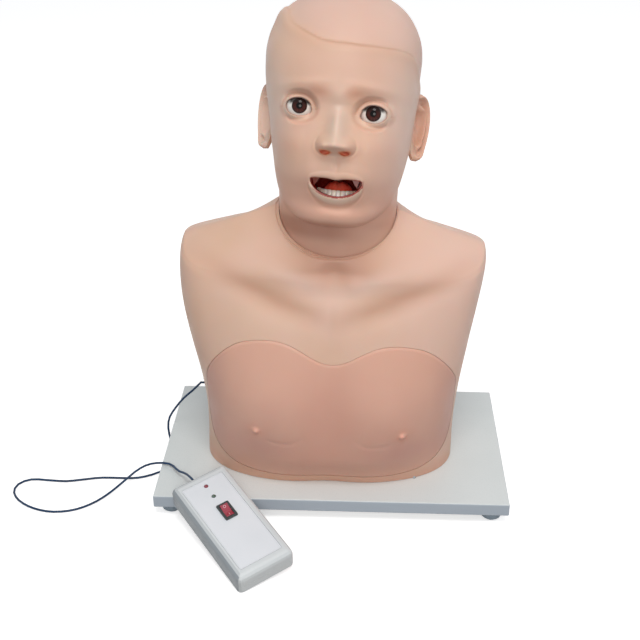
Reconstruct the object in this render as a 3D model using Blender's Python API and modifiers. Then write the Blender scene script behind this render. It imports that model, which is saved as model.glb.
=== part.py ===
"""Throat examination manikin: a bust on a footed board, its throat to look into, and a control box on a lead.

Metres, +Z up, the face towards -Y, and left is -X, as seen from the front. The bust leans a little on its
board, the head is pitched back and turns on its neck, and the control box leans on the board's front edge.
"""

import math

import bmesh
import bpy
import numpy as np
from mathutils import Matrix, Vector

MM = 0.001

# Fits
GAP = 0.0003            # between pieces that touch
RUNNING_GAP = 0.0015    # round the turning neck
OVERCUT = 0.004         # how far a cutter runs past what it cuts

# Board and feet
BOARD_WIDTH = 0.400
BOARD_DEPTH = 0.240
BOARD_THICKNESS = 0.015
BOARD_EDGE_RADIUS = 0.0012
FOOT_RADIUS = 0.0124
FOOT_HEIGHT = 0.0132
FOOT_INSET = 0.018
FOOT_BORE_RADIUS = 0.0022
FOOT_POCKET_RADIUS = 0.0046
FOOT_POCKET_DEPTH = 0.0070
BOARD_BOTTOM = FOOT_HEIGHT + GAP
BOARD_TOP = BOARD_BOTTOM + BOARD_THICKNESS

# Wood screws from below: into the board through the feet, and into the bust through the board
SCREW_SHANK_RADIUS = 0.0018
SCREW_HEAD_RADIUS = 0.0038
SCREW_HEAD_HEIGHT = 0.0022
FOOT_SCREW_BITE = 0.009
BUST_SCREW_BITE = 0.0035
BUST_SCREW_X = 0.095
BUST_SCREW_FRONT_Y = -0.072
BUST_SCREW_REAR_Y = 0.076

# Bust on its board
BUST_LEAN = math.radians(1.4)
BUST_SHIFT = -0.0045
TORSO_WALL = 0.005
TORSO_LIP = 0.016
SQUARE_HEIGHT = 0.060   # the lean is taken up below this height
NECK_PIVOT_Y = 0.002
NECK_PIVOT_HEIGHT = 0.3025
NECK_TILT = math.radians(18)
COLLAR_TILT = math.radians(31)
COLLAR_BACK_TILT = math.radians(0)
NECK_RADIUS = 0.0635
NECK_WALL = 0.004
NECK_TOP = 0.052
NECK_BORE_TOP = 0.040
COLLAR_LIP_WIDTH = 0.0045
COLLAR_LIP_HEIGHT = 0.0018
COLLAR_LIP_ROUNDING = 0.0006
COLLAR_HOLLOW = 0.0035      # how far the rounding at the collar's foot reaches
SOCKET_RIM = 0.045
HEAD_TURN = math.radians(-4.5)

# Torso rings, in mm above the board: front y, front z, side x, side y, side z, back y, back z, and how square
# the front and the back of the ring are (2 is an ellipse)
TORSO_RINGS = (
    (-87, 0, 145.0, -4, 0, 94, 0, 2.5, 2.6),
    (-94, 14, 144.8, -3, 14, 95.5, 14, 2.5, 2.6),
    (-104, 40, 144.2, -2, 40, 96.5, 40, 2.5, 2.6),
    (-107.5, 72, 145.2, -1, 72, 97, 72, 2.5, 2.6),
    (-106, 110, 149.5, 1, 110, 97, 109, 2.6, 2.7),
    (-98, 150, 157, 3, 150, 97.5, 146, 2.7, 2.8),
    (-87, 190, 164, 5, 192, 97.5, 180, 2.9, 3.0),
    (-77, 216, 167.5, 6, 225, 97, 206, 3.1, 3.1),
    (-70, 230, 168.5, 6, 251, 96, 230, 3.2, 3.2),
    (-66.5, 237.5, 167, 6, 264, 95, 243, 3.2, 3.2),
    (-64.5, 243, 160, 5, 269.5, 94, 249, 3.0, 3.0),
    (-62.5, 251, 125, 3, 281.5, 92, 260, 2.6, 2.6),
    (-62, 258.5, 98, 1, 292, 88, 269, 2.2, 2.2),
)
SHOULDER_EDGE_RING = 9
TORSO_SWAY = 0.006      # how far the chest stands to the left, at its most
TORSO_SWAY_HEIGHT = 0.195
TORSO_SWAY_REACH = 0.085

# Hills and hollows, alike on both sides: rise, across, height, half-width, half-height, and slope outwards
CHEST_HILLS = (
    (0.0055, 0.070, 0.098, 0.046, 0.046, 0.0),      # breasts
    (-0.0030, 0.0, 0.120, 0.020, 0.075, 0.0),       # breastbone
    (-0.0045, 0.0, 0.0, 0.034, 0.030, 0.0),         # middle of the foot
    (0.0034, 0.062, 0.252, 0.052, 0.0075, 0.10),    # collarbones
    (-0.0035, 0.0, 0.257, 0.014, 0.011, 0.0),       # hollow of the throat
)

# Chest cover, a soft plate in a recess of the torso; heights above the board
COVER_HALF_WIDTH = 0.139
COVER_SIDE_HEIGHT = 0.112
COVER_TOP_HUMP = 0.179
COVER_HUMP_X = 0.084
COVER_TOP_DIP = 0.0195
COVER_DIP_WIDTH = 0.034
COVER_BOTTOM = 0.0125
COVER_CORNER_POWER = 3.0
COVER_THICKNESS = 0.0026
COVER_PROUD = 0.0006
COVER_SEAM = 0.0007
COVER_FALL = 0.030      # how far its top falls from the humps to its sides
NIPPLE_X = 0.081
NIPPLE_HEIGHT = 0.0785
NIPPLE_RADIUS = 0.0045
NIPPLE_RISE = 0.0035

# Skull rings, in mm in the face's frame (origin inside the skull, face towards -y): columns as TORSO_RINGS
FACE_PITCH = math.radians(17)
SKULL_Y = 0.012
SKULL_HEIGHT = 0.4265
SKULL_WALL = 0.0055
SKULL_CORE_RISE = 0.002
FACE_WALL = 0.0105
SKULL_RINGS = (
    (-46, -134.5, 20, -36, -133, -24, -130, 2.0, 2.0),
    (-54, -134, 33, -30, -130, -10, -122, 2.0, 2.0),
    (-61, -130, 45, -24, -122, 6, -112, 2.1, 2.0),
    (-65, -122, 54, -18, -112, 24, -103, 2.2, 2.0),
    (-69, -110, 60, -12, -102, 40, -94, 2.2, 2.1),
    (-77, -98, 64, -6, -92, 52, -84, 2.2, 2.1),
    (-86, -86, 67, -2, -80, 62, -73, 2.2, 2.1),
    (-91, -74, 69.5, 2, -68, 71, -61, 2.2, 2.1),
    (-93, -58, 72.5, 5, -52, 80, -46, 2.2, 2.1),
    (-92, -42, 74.5, 6, -36, 88, -30, 2.2, 2.1),
    (-91.5, -26, 76.5, 8, -20, 94, -14, 2.25, 2.1),
    (-92, -12, 78.5, 9, -6, 97.5, 0, 2.3, 2.1),
    (-95, 2, 80, 10, 8, 98.5, 14, 2.3, 2.1),
    (-95, 20, 81, 11, 26, 98, 30, 2.3, 2.1),
    (-91.5, 38, 81, 11, 42, 94.5, 46, 2.25, 2.1),
    (-83.5, 56, 78, 11, 58, 87, 60, 2.2, 2.1),
    (-71, 73, 71, 11, 73, 76, 74, 2.15, 2.1),
    (-54, 87, 60, 11, 87, 61, 87, 2.1, 2.0),
    (-34, 98.5, 43, 11, 98.5, 44, 98, 2.0, 2.0),
    (-11, 105.5, 22, 10, 105.5, 24, 105, 2.0, 2.0),
)
CROWN = (-0.0045, 0.008, 0.108)
CHIN_CAP = (0.0, -0.034, -0.1335)
SKULL_SWAY = 0.0045     # how far the crown stands to the left of the chin
SKULL_SWAY_LOW = -0.080
SKULL_SWAY_HIGH = 0.040

# Face, in its own frame: across, up, and how far forward
EYE_X = 0.0370
EYES_SHIFT = -0.0008
EYE_Z = -0.016
EYE_Y = -0.0705
EYEBALL_RADIUS = 0.0135
EYE_OPENING_HALF_WIDTH = 0.0120
EYE_OPENING_HALF_HEIGHT = 0.0084
EYE_OPENING_START = 0.004
EYE_OPENING_END = 0.030
IRIS_RADIUS = 0.0072
IRIS_RISE = 0.0012
NOSE_TIP_Z = -0.0490
NOSE_LENGTH = 0.038
NOSE_RISE = 0.0190
NOSE_HALF_WIDTH = 0.0085
NOSTRIL_X = 0.0105
NOSTRIL_Y = -0.0985
NOSTRIL_Z = -0.0585
NOSTRIL_RADII = (0.0040, 0.0046, 0.0065)
MOUTH_X = 0.0036
MOUTH_Z = -0.0868
NOSE_X = 0.0016
MOUTH_HALF_WIDTH = 0.0248
MOUTH_UPPER = 0.0040
MOUTH_LOWER = 0.0132
LIP_RISE = 0.0035
LIP_BREADTH_UP = 0.0045
LIP_BREADTH_DOWN = 0.0055
MOUTH_ROWS = (          # y and growth of the opening's rings, from before the lips to inside them
    (-0.125, 1.18),
    (-0.094, 1.03),
    (-0.086, 1.0),
    (-0.079, 1.06),
    (-0.070, 1.10),
    (-0.062, 1.08),
)
EYE_HILLS = (
    (-0.0060, 0.030, EYE_Z + 0.001, 0.017, 0.0105, 0.0),    # sockets
    (0.0042, EYE_X, EYE_Z, 0.0150, 0.0118, 0.0),        # lids
    (0.0028, 0.034, 0.0035, 0.026, 0.0095, -0.15),      # brows
    (0.0040, 0.046, -0.046, 0.020, 0.018, 0.0),         # cheeks
    (-0.0016, 0.0305, -0.066, 0.004, 0.028, -4.0),      # folds beside the mouth
)
NOSE_HILLS = (
    (0.0085, 0.0125, NOSE_TIP_Z - 0.001, 0.0070, 0.0085, 0.0),  # wings
    (0.0030, 0.0, -0.006, 0.012, 0.012, 0.0),           # bridge
)
CHIN_HILLS = (
    (-0.0010, 0.0, -0.068, 0.0035, 0.0070, 0.0),        # groove over the upper lip
    (-0.0024, 0.0, -0.1115, 0.020, 0.0040, 0.0),        # dip under the lower lip
    (0.0048, 0.0, -0.1235, 0.018, 0.010, 0.0),          # chin
)

# Ears
EAR_HEIGHT = 0.071
EAR_WIDTH = 0.037
EAR_THICKNESS = 0.0052
EAR_X = 0.0785
EARS_SHIFT = -0.0030
EAR_Y = 0.022
EAR_Z = -0.0265
EAR_SINK = 0.0055
EAR_FLARE = math.radians(27)
EAR_LEAN = math.radians(8)
EAR_BOWL_DEPTH = 0.0040
EAR_FOLDS = (           # rise, share of the ear's radius, half-width, and where it begins round the ear
    (0.0042, 0.90, 0.10, -0.45, 0.5),
    (0.0030, 0.60, 0.12, -0.1, 0.6),
)

# Throat, in the face's frame, in mm along its midline: y, z, half-width, half-height. The rows from
# LARYNX_ROW on are the larynx's.
THROAT_RINGS = (
    (-90, -92, 31, 17),
    (-76, -91, 30, 17.5),
    (-64, -90, 30, 18),
    (-48, -87, 27, 18),
    (-32, -88, 24, 17),
    (-19, -97, 20, 14),
    (-11, -112, 17, 12),
    (-4, -130, 15.5, 11),
    (5, -150, 14.5, 10.5),
    (11.5, -161, 14.8, 14),
    (18, -171.5, 14.5, 16),
    (24, -180, 14.5, 16),
)
LARYNX_ROW = 8
THROAT_WALL = 0.0022
TONGUE_RINGS = (
    (-57, -104, 6, 5.5),
    (-52, -102.5, 11, 8.5),
    (-44, -100, 14.5, 11),
    (-34, -100, 15, 11.2),
    (-26, -105, 13, 9),
)
TEETH_ARCH_HALF_WIDTH = 0.0245
TEETH_ARCH_DEPTH = 0.030
TEETH_THICKNESS = 0.0060
TEETH_HEIGHT = 0.0085
TEETH_NARROW = 0.55     # share of their thickness at the biting edge
TEETH_NOTCH = 0.0009
LOWER_TEETH_Y = -0.0665
LOWER_TEETH_Z = -0.1005
UPPER_TEETH_Y = -0.0755
UPPER_TEETH_Z = -0.0790
PALATE_Y = -0.034
PALATE_THICKNESS = 0.003
PALATE_ARCH_Z = -0.0795
PALATE_ARCH_DROP = 0.016
PALATE_TOP_Z = -0.060
PALATE_HALF_WIDTH = 0.030
UVULA_LENGTH = 0.0085
UVULA_HALF_WIDTH = 0.0030
SENSOR_Y = -0.0085
SENSOR_Z = -0.0878
SENSOR_SLANT = math.radians(48.8)
SENSOR_RADIUS = 0.0050
SENSOR_FLANGE_RADIUS = 0.0075
SENSOR_BACK = 0.0040
SENSOR_FACE = 0.0009
SENSOR_CHAMFER = 0.0005
LIPS_BLOCK = (0.090, 0.080, 0.060)
LIPS_BLOCK_PLACE = (0, -0.095, -0.095)

# Larynx, in the neck's frame: the rings of its two passages, in mm (height, y, half-width, half-depth)
LARYNX_FOOT = -0.036
AIRWAY_RINGS = (
    (-5, -38.0, 6.5, 4.8),
    (-14, -39.5, 6.0, 4.8),
    (-19, -40.5, 1.8, 4.6),
    (-22, -41.2, 1.8, 4.6),
    (-29, -43.0, 6.7, 6.7),
    (-40, -44.0, 6.7, 6.7),
)
FOOD_WAY_RINGS = (
    (-5, -28.5, 8.0, 3.4),
    (-14, -28.0, 7.0, 3.6),
    (-24, -26.8, 5.2, 5.0),
    (-40, -26.0, 5.2, 5.2),
)
EPIGLOTTIS_RADII = (0.0055, 0.0009, 0.0093)
EPIGLOTTIS_Y = -0.0412
EPIGLOTTIS_Z = -0.0055
EPIGLOTTIS_SLANT = math.radians(-23.8)
WINDPIPE_Y = -0.044
WINDPIPE_RADIUS = 0.0085
GULLET_Y = -0.026
GULLET_RADIUS = 0.0070
PIPE_WALL = 0.0018

# Neck bearing
PLUG_THICKNESS = 0.006
PLUG_DEPTH = 0.056
SOCKET_WALL = 0.0032
SOCKET_FLOOR = 0.004
PIVOT_RADIUS = 0.004
PIVOT_HEAD_RADIUS = 0.0075
PIVOT_HEAD_HEIGHT = 0.005
PIVOT_WASHER_RADIUS = 0.011
PIVOT_WASHER_THICKNESS = 0.0016
PIVOT_NUT_RADIUS = 0.0075
PIVOT_NUT_HEIGHT = 0.0065
PIVOT_END = 0.002       # how far the bolt stands out of its nut

# Control box, in its own frame (origin under its middle, x across, y along, z up)
BOX_LENGTH = 0.148
BOX_WIDTH = 0.068
BOX_HEIGHT = 0.024
BOX_SPLIT = 0.0095
BOX_WALL = 0.0020
BOX_CORNER_RADIUS = 0.0055
BOX_TOP_RADIUS = 0.0062
BOX_FOOT_EDGE = 0.0015
BOX_FOOT_CORNER_X = -0.0893
BOX_FOOT_CORNER_Y = -0.2446
BOX_SETTLE = 0.0004     # how far the rounding of that corner lets the box down
BOX_YAW = math.radians(36.2)
LABEL_END_BAND = 0.0110
LABEL_SIDE_BAND = 0.00875
LABEL_LENGTH = BOX_LENGTH - 2 * LABEL_END_BAND
LABEL_WIDTH = BOX_WIDTH - 2 * LABEL_SIDE_BAND
LABEL_CORNER_RADIUS = 0.0015
LABEL_THICKNESS = 0.0005
LAMP_RADIUS = 0.0023
LAMP_FLANGE_RADIUS = 0.0030
LAMP_X = 0.0006
LAMP_DEPTH = 0.0075
LAMP_PROUD = 0.0012
GREEN_LAMP_SHARE = 0.3289   # of the panel between the switch and the far screw
RED_LAMP_SHARE = 0.7092
SWITCH_X = 0.0022
SWITCH_CLEARANCE = 0.0123   # from the battery
SWITCH_WIDTH = 0.0150
SWITCH_LENGTH = 0.0230
SWITCH_BEZEL = 0.0016
SWITCH_BODY_INSET = 0.0013
SWITCH_DEPTH = 0.0105
SWITCH_FLOOR = 0.0015
SWITCH_BORDER = 0.0026
SWITCH_CORNER_RADIUS = 0.0012
SWITCH_EDGE_RADIUS = 0.0005
ROCKER_TILT = math.radians(8)
ROCKER_SIDE_GAP = 0.0004
ROCKER_END_GAP = 0.0009
ROCKER_END_RISE = 0.0024
ROCKER_MIDDLE_RISE = 0.0008
ROCKER_FOOT = 0.0026
ROCKER_PIN_RADIUS = 0.0010
ROCKER_PIN_BITE = 0.0008
ROCKER_PIVOT_DROP = 0.0016
BOX_SCREW_INSET = 0.0065
BOSS_RADIUS = 0.0044
POST_RADIUS = 0.0032
BOX_SCREW_BITE = 0.0050
CIRCUIT_KEEP_OUT = 0.084    # what the screws, the battery and their walls take of the box's length
CIRCUIT_LENGTH = BOX_LENGTH - CIRCUIT_KEEP_OUT
CIRCUIT_WIDTH = 0.046
CIRCUIT_THICKNESS = 0.0016
CIRCUIT_END_INSET = 0.016
CIRCUIT_HEIGHT = 0.0060
RIB_THICKNESS = 0.0016
RIB_INSET = 0.004
BATTERY_LENGTH = 0.0480
BATTERY_WIDTH = 0.0260
BATTERY_HEIGHT = 0.0165
BATTERY_CORNER_RADIUS = 0.0025
BATTERY_INSET = 0.0135
DOOR_LENGTH = 0.0515
DOOR_WIDTH = 0.034
BUZZER_RADIUS = 0.006
BUZZER_HEIGHT = 0.0065
BUZZER_INSET = 0.012
BUZZER_X = -0.014

# Places along the box: the screws, the battery and the circuit board keep to its ends, the switch stands
# beyond the battery, and the lamps share the rest of the panel
BOX_SCREW_Y = BOX_LENGTH / 2 - BOX_SCREW_INSET
BATTERY_Y = -BOX_LENGTH / 2 + BATTERY_INSET + BATTERY_LENGTH / 2
CIRCUIT_Y = BOX_LENGTH / 2 - CIRCUIT_END_INSET - CIRCUIT_LENGTH / 2
RIB_OFFSET = CIRCUIT_LENGTH / 2 - RIB_INSET
BUZZER_Y = CIRCUIT_Y + CIRCUIT_LENGTH / 2 - BUZZER_INSET
SWITCH_Y = BATTERY_Y + BATTERY_LENGTH / 2 + SWITCH_CLEARANCE + SWITCH_LENGTH / 2
PANEL_START = SWITCH_Y + SWITCH_LENGTH / 2
PANEL_RUN = BOX_SCREW_Y - PANEL_START
GREEN_LAMP_Y = PANEL_START + PANEL_RUN * GREEN_LAMP_SHARE
RED_LAMP_Y = PANEL_START + PANEL_RUN * RED_LAMP_SHARE

# Lead and what it leaves and enters
CORD_RADIUS = 0.0013
CORD_SPACING = 0.0085
CORD_LEAD_OUT = 0.005   # the straight start and end of the lead
GLAND_X = -0.1454
GLAND_Y = 0.020
GLAND_HEIGHT = 0.0622
GLAND_RADIUS = 0.0042
GLAND_SPIGOT_RADIUS = 0.0030
GLAND_PROUD = 0.0078
BUSH_RADIUS = 0.0030
BUSH_SPIGOT_RADIUS = 0.0022
BUSH_X = -0.0035
BUSH_HEIGHT = 0.0135
BUSH_PROUD = 0.0020

# The lead's route, in mm from the middle of the board on the floor, between its gland and the box's bush
CORD_ROUTE = (
    (-170.5, 20.5, 84.0),
    (-184.0, 21.5, 70.5),
    (-196.0, 23.0, 54.0),
    (-203.6, 24.0, 40.5),
    (-206.0, 24.0, 28.0),
    (-205.2, 22.5, 17.0),
    (-202.0, 17.5, 7.5),
    (-196.5, 9.0, 2.6),
    (-192.5, -3.0, 1.7),
    (-193.5, -18.0, 1.7),
    (-199.5, -29.5, 1.7),
    (-209.0, -37.0, 1.7),
    (-220.0, -44.5, 1.7),
    (-234.0, -49.8, 1.7),
    (-250.0, -50.6, 1.7),
    (-276.0, -51.0, 1.7),
    (-297.0, -55.6, 1.7),
    (-316.0, -59.6, 1.7),
    (-337.0, -58.6, 1.7),
    (-357.0, -57.6, 1.7),
    (-370.0, -66.0, 1.7),
    (-372.6, -80.5, 1.7),
    (-364.5, -95.5, 1.7),
    (-349.5, -108.0, 1.7),
    (-331.0, -116.0, 1.7),
    (-312.5, -118.0, 1.7),
    (-292.5, -113.0, 1.7),
    (-274.5, -100.5, 2.0),
    (-260.0, -84.0, 3.4),
    (-244.5, -62.0, 7.0),
    (-233.0, -52.5, 13.5),
    (-219.0, -53.5, 23.5),
    (-203.0, -59.0, 31.0),
    (-188.5, -63.0, 32.2),
    (-176.5, -80.0, 35.4),
    (-166.0, -91.5, 40.0),
)

COLOURS = {
    "skin": "#D4B29B",
    "cover": "#CB9380",
    "board": "#D2D6D3",
    "foot": "#6B7C8A",
    "steel": "#B9BCC0",
    "black": "#1E2226",
    "box": "#CDD2D1",
    "label": "#D9DDE1",
    "bezel": "#2F3838",
    "rocker": "#B0324F",
    "red_lamp": "#8A1F38",
    "green_lamp": "#3D5A4A",
    "eye": "#F1EFEA",
    "enamel": "#E4DCCB",
    "mucosa": "#B5302A",
    "tongue": "#C4524A",
    "cartilage": "#D9B8A2",
    "board_green": "#2E6B45",
    "nylon": "#C9CBC8",
    "cell": "#394A6B",
    "lead": "#1D3550",
}


def clear_scene():
    """Removes every object of the scene that the script starts in."""
    for obj in list(bpy.data.objects):
        bpy.data.objects.remove(obj, do_unlink=True)


def new_collection(name):
    """A collection linked under the scene's own."""
    collection = bpy.data.collections.new(name)
    bpy.context.scene.collection.children.link(collection)
    return collection


def linear(channel):
    """One sRGB channel, 0 to 1, as linear light."""
    return channel / 12.92 if channel <= 0.04045 else ((channel + 0.055) / 1.055) ** 2.4


def material(name, colour, roughness, metallic=0.0):
    """A Principled material of one colour, given as a name from COLOURS."""
    hexed = COLOURS[colour].lstrip("#")
    rgb = [linear(int(hexed[i : i + 2], 16) / 255) for i in (0, 2, 4)]
    made = bpy.data.materials.new(name)
    made.use_nodes = True
    shader = made.node_tree.nodes["Principled BSDF"]
    shader.inputs["Base Color"].default_value = (*rgb, 1.0)
    shader.inputs["Roughness"].default_value = roughness
    shader.inputs["Metallic"].default_value = metallic
    made.diffuse_color = (*rgb, 1.0)
    return made


class Frame:
    """An empty that carries pieces, and the place at which their meshes are written."""

    def __init__(self, name, parent, matrix, drawn_at=None):
        """The empty stands at matrix in its parent; meshes are drawn as if it stood at drawn_at."""
        self.empty = bpy.data.objects.new(name, None)
        self.empty.empty_display_size = 0.03
        PARTS.objects.link(self.empty)
        if parent is not None:
            self.empty.parent = parent.empty
            self.empty.matrix_parent_inverse = parent.undo
        self.empty.matrix_basis = matrix
        self.undo = (drawn_at or Matrix.Identity(4)).inverted()

    def take(self, obj, matrix=None):
        """Parents a piece or a cutter to the empty."""
        obj.parent = self.empty
        obj.matrix_parent_inverse = self.undo
        obj.matrix_basis = matrix or Matrix.Identity(4)
        return obj


def shade_round(mesh):
    """Smooth shading, but for the edges that are really there."""
    if mesh.polygons:
        mesh.shade_smooth()
        mesh.set_sharp_from_angle(angle=math.radians(35))


def part(name, mesh, frame, surface, matrix=None, smooth=True):
    """A piece of the manikin: one node, with its own material."""
    obj = bpy.data.objects.new(name, mesh)
    PARTS.objects.link(obj)
    mesh.materials.append(material(name + "_finish", *surface))
    if smooth:
        shade_round(mesh)
    return frame.take(obj, matrix)


def cutter(name, mesh, frame, matrix=None, smooth=False):
    """A helper that only cuts or joins, and isn't rendered."""
    obj = bpy.data.objects.new(name + "_cutter", mesh)
    CUTTERS.objects.link(obj)
    obj.hide_render = True
    obj.display_type = "WIRE"
    if smooth:
        shade_round(mesh)
    return frame.take(obj, matrix)


def boolean(obj, tool, operation="DIFFERENCE", solver="EXACT"):
    """Adds a Boolean with tool; the thin-walled mouldings need the MANIFOLD solver."""
    modifier = obj.modifiers.new(tool.name, "BOOLEAN")
    modifier.operation = operation
    modifier.solver = solver
    modifier.object = tool
    return obj


def bevel(obj, width, segments=2, angle=30):
    """Rounds the edges that are sharper than angle, in degrees."""
    modifier = obj.modifiers.new("rounded_edges", "BEVEL")
    modifier.width = width
    modifier.segments = segments
    modifier.limit_method = "ANGLE"
    modifier.angle_limit = math.radians(angle)
    return obj


def mesh_from(name, build):
    """A mesh filled by build(bm), with its normals facing out."""
    bm = bmesh.new()
    build(bm)
    bmesh.ops.recalc_face_normals(bm, faces=bm.faces)
    mesh = bpy.data.meshes.new(name)
    bm.to_mesh(mesh)
    bm.free()
    return mesh


def box_mesh(name, size, centre=(0, 0, 0)):
    """A plain box."""
    place = Matrix.Translation(centre) @ Matrix.Diagonal((*size, 1.0))
    return mesh_from(name, lambda bm: bmesh.ops.create_cube(bm, size=1.0, matrix=place))


def cylinder_mesh(name, radius, low, high, segments=24, top_radius=None):
    """A cylinder or cone about Z, from height low to height high."""
    place = Matrix.Translation((0, 0, (low + high) / 2))
    top = radius if top_radius is None else top_radius

    def build(bm):
        bmesh.ops.create_cone(
            bm, cap_ends=True, segments=segments, radius1=radius, radius2=top, depth=high - low, matrix=place
        )

    return mesh_from(name, build)


def ellipsoid_mesh(name, radii, rings=8, segments=16):
    """An ellipsoid about the origin."""
    place = Matrix.Diagonal((*radii, 1.0))

    def build(bm):
        bmesh.ops.create_uvsphere(bm, u_segments=segments, v_segments=rings, radius=1.0, matrix=place)

    return mesh_from(name, build)


def turned(name, profile, frame, surface, segments=24, matrix=None):
    """A turned piece: its profile, (radius, height) from the top down its outer side, swept about Z."""
    bm = bmesh.new()
    points = [bm.verts.new((radius, 0, height)) for radius, height in profile]
    closed = profile[0][0] > 0 and profile[-1][0] > 0
    for here, there in zip(points, points[1:] + (points[:1] if closed else [])):
        bm.edges.new((here, there))
    mesh = bpy.data.meshes.new(name)
    bm.to_mesh(mesh)
    bm.free()
    obj = part(name, mesh, frame, surface, matrix)
    screw = obj.modifiers.new("turn", "SCREW")
    screw.steps = segments
    screw.render_steps = segments
    screw.use_merge_vertices = True
    screw.merge_threshold = 1e-5
    screw.use_smooth_shade = True
    return obj


def catmull_rom(knots, positions):
    """Smooth curves through the rows of knots, read at positions from 0 to the last row's index."""
    knots = np.asarray(knots, float)
    positions = np.asarray(positions, float)
    last = len(knots) - 1
    span = np.clip(np.floor(positions).astype(int), 0, last - 1)
    t = (positions - span)[:, None]
    here, there = knots[span], knots[span + 1]
    start = (there - knots[np.maximum(span - 1, 0)]) / 2
    end = (knots[np.minimum(span + 2, last)] - here) / 2
    return (
        (2 * t**3 - 3 * t**2 + 1) * here
        + (t**3 - 2 * t**2 + t) * start
        + (3 * t**2 - 2 * t**3) * there
        + (t**3 - t**2) * end
    )


def turn_angles(around, crowd=0.0):
    """Angles round a ring from the front, closer together at the front where crowd is over 0."""
    even = np.arange(around) * 2 * math.pi / around
    return even - crowd * np.sin(even)


def rings(rows, positions, angles):
    """Points of the lofted surface, one ring for each position: an array of rings by angles by xyz."""
    row = catmull_rom(rows, positions)[:, :, None]
    front_y, front_z, side_x, side_y, side_z, back_y, back_z, *squares = row.transpose(1, 0, 2)
    ahead, across = np.cos(angles)[None], np.sin(angles)[None]
    in_front = ahead >= 0
    power = 2 / np.where(in_front, *squares)
    reach = np.abs(ahead) ** power
    x = side_x * np.sign(across) * np.abs(across) ** power
    y = side_y + (np.where(in_front, front_y, back_y) - side_y) * reach
    z = side_z + (np.where(in_front, front_z, back_z) - side_z) * reach
    return np.stack([x, y, z], axis=2)


def loft(name, points, first_tip=None, last_tip=None):
    """A closed mesh through rings of points, each end closed at its tip or at its own middle.

    Its quads are halved alike on both sides, so that a wall between two lofts keeps its thickness.
    """
    def build(bm):
        rows = [[bm.verts.new(point) for point in ring] for ring in points]
        for low, high in zip(rows, rows[1:]):
            for i in range(len(low)):
                j = (i + 1) % len(low)
                if 2 * i < len(low):
                    halves = (low[i], low[j], high[j]), (low[i], high[j], high[i])
                else:
                    halves = (low[i], low[j], high[i]), (low[j], high[j], high[i])
                for half in halves:
                    bm.faces.new(half)
        for row, ring, tip in ((rows[0], points[0], first_tip), (rows[-1], points[-1], last_tip)):
            middle = bm.verts.new(ring.mean(axis=0) if tip is None else tip)
            for i in range(len(row)):
                bm.faces.new((row[i], row[(i + 1) % len(row)], middle))

    return mesh_from(name, build)


def bump(x, z, centre_x, centre_z, half_x, half_z):
    """A smooth hill, 1 at its middle."""
    return np.exp(-(((x - centre_x) / half_x) ** 2) - ((z - centre_z) / half_z) ** 2)


def hills(x, z, table):
    """The sum of a table's hills and hollows."""
    side = np.abs(x)
    total = 0.0
    for rise, across, height, half_width, half_height, slope in table:
        middle = height + slope * (side - across)
        total = total + rise * bump(side, z, across, middle, half_width, half_height)
    return total


def step(value, low, high):
    """0 below low, 1 above high, smooth between."""
    t = np.clip((value - low) / (high - low), 0, 1)
    return t * t * (3 - 2 * t)


def inset(rows, front, side, back, drop_from, drop):
    """Loft rows moved inwards, in metres, and lowered by drop from the row drop_from on."""
    moved = np.array(rows, float) * ([MM] * 7 + [1, 1])
    moved[:, 0] += front
    moved[:, 2] -= side
    moved[:, 5] -= back
    moved[drop_from:, [1, 4, 6]] -= drop
    return moved


# Torso


def collar_row(radius, rise):
    """The loft row of a ring round the neck hole, rise above the collar's plane."""
    c, s = math.cos(NECK_TILT), math.sin(NECK_TILT)
    front = (-radius, -radius * math.tan(COLLAR_TILT - NECK_TILT) + rise)
    back = (radius, radius * math.tan(COLLAR_BACK_TILT - NECK_TILT) + rise)
    side_y, side_z = NECK_PIVOT_Y - rise * s, NECK_PIVOT_HEIGHT + rise * c
    ends = [(NECK_PIVOT_Y + q * c - h * s, NECK_PIVOT_HEIGHT + q * s + h * c) for q, h in (front, back)]
    return (*ends[0], radius, side_y, side_z, *ends[1], 2.0, 2.0)


def torso_rows(front=0.0, side=0.0, back=0.0, drop=0.0):
    """The torso's rings and its collar, moved inwards if asked."""
    rows = inset(TORSO_RINGS, front, side, back, SHOULDER_EDGE_RING, drop)
    outer = NECK_RADIUS + RUNNING_GAP + COLLAR_LIP_WIDTH
    collar = [collar_row(outer + COLLAR_HOLLOW, -drop), collar_row(outer, -drop)]
    if drop == 0.0:
        collar += [collar_row(outer - COLLAR_LIP_ROUNDING, COLLAR_LIP_HEIGHT)]
    return np.vstack([rows, collar])


def torso_sway(z):
    """How far the torso stands to the left at a height above the board."""
    return TORSO_SWAY * np.exp(-(((z - TORSO_SWAY_HEIGHT) / TORSO_SWAY_REACH) ** 2))


def chest_relief(x, z):
    """How far the chest stands out of its plain loft at a height above the board."""
    return hills(x, z, CHEST_HILLS)


def stood_height(x, z):
    """A height in the bust, changed so that its foot stands level on the board though the bust leans."""
    lift = (GAP + x * math.sin(BUST_LEAN)) / math.cos(BUST_LEAN)
    return z + lift * np.clip(1 - z / SQUARE_HEIGHT, 0, 1)


def torso_points(positions, angles, rows):
    """Rings of the torso's surface, with the chest's relief on its front."""
    points = rings(rows, positions, angles)
    facing = step(np.cos(angles), 0.05, 0.5)[None] * step(-points[..., 1], 0.0, 0.03)
    points[..., 0] -= torso_sway(points[..., 2])
    points[..., 1] -= chest_relief(points[..., 0], points[..., 2]) * facing
    points[..., 2] = stood_height(points[..., 0], points[..., 2])
    return points


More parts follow.
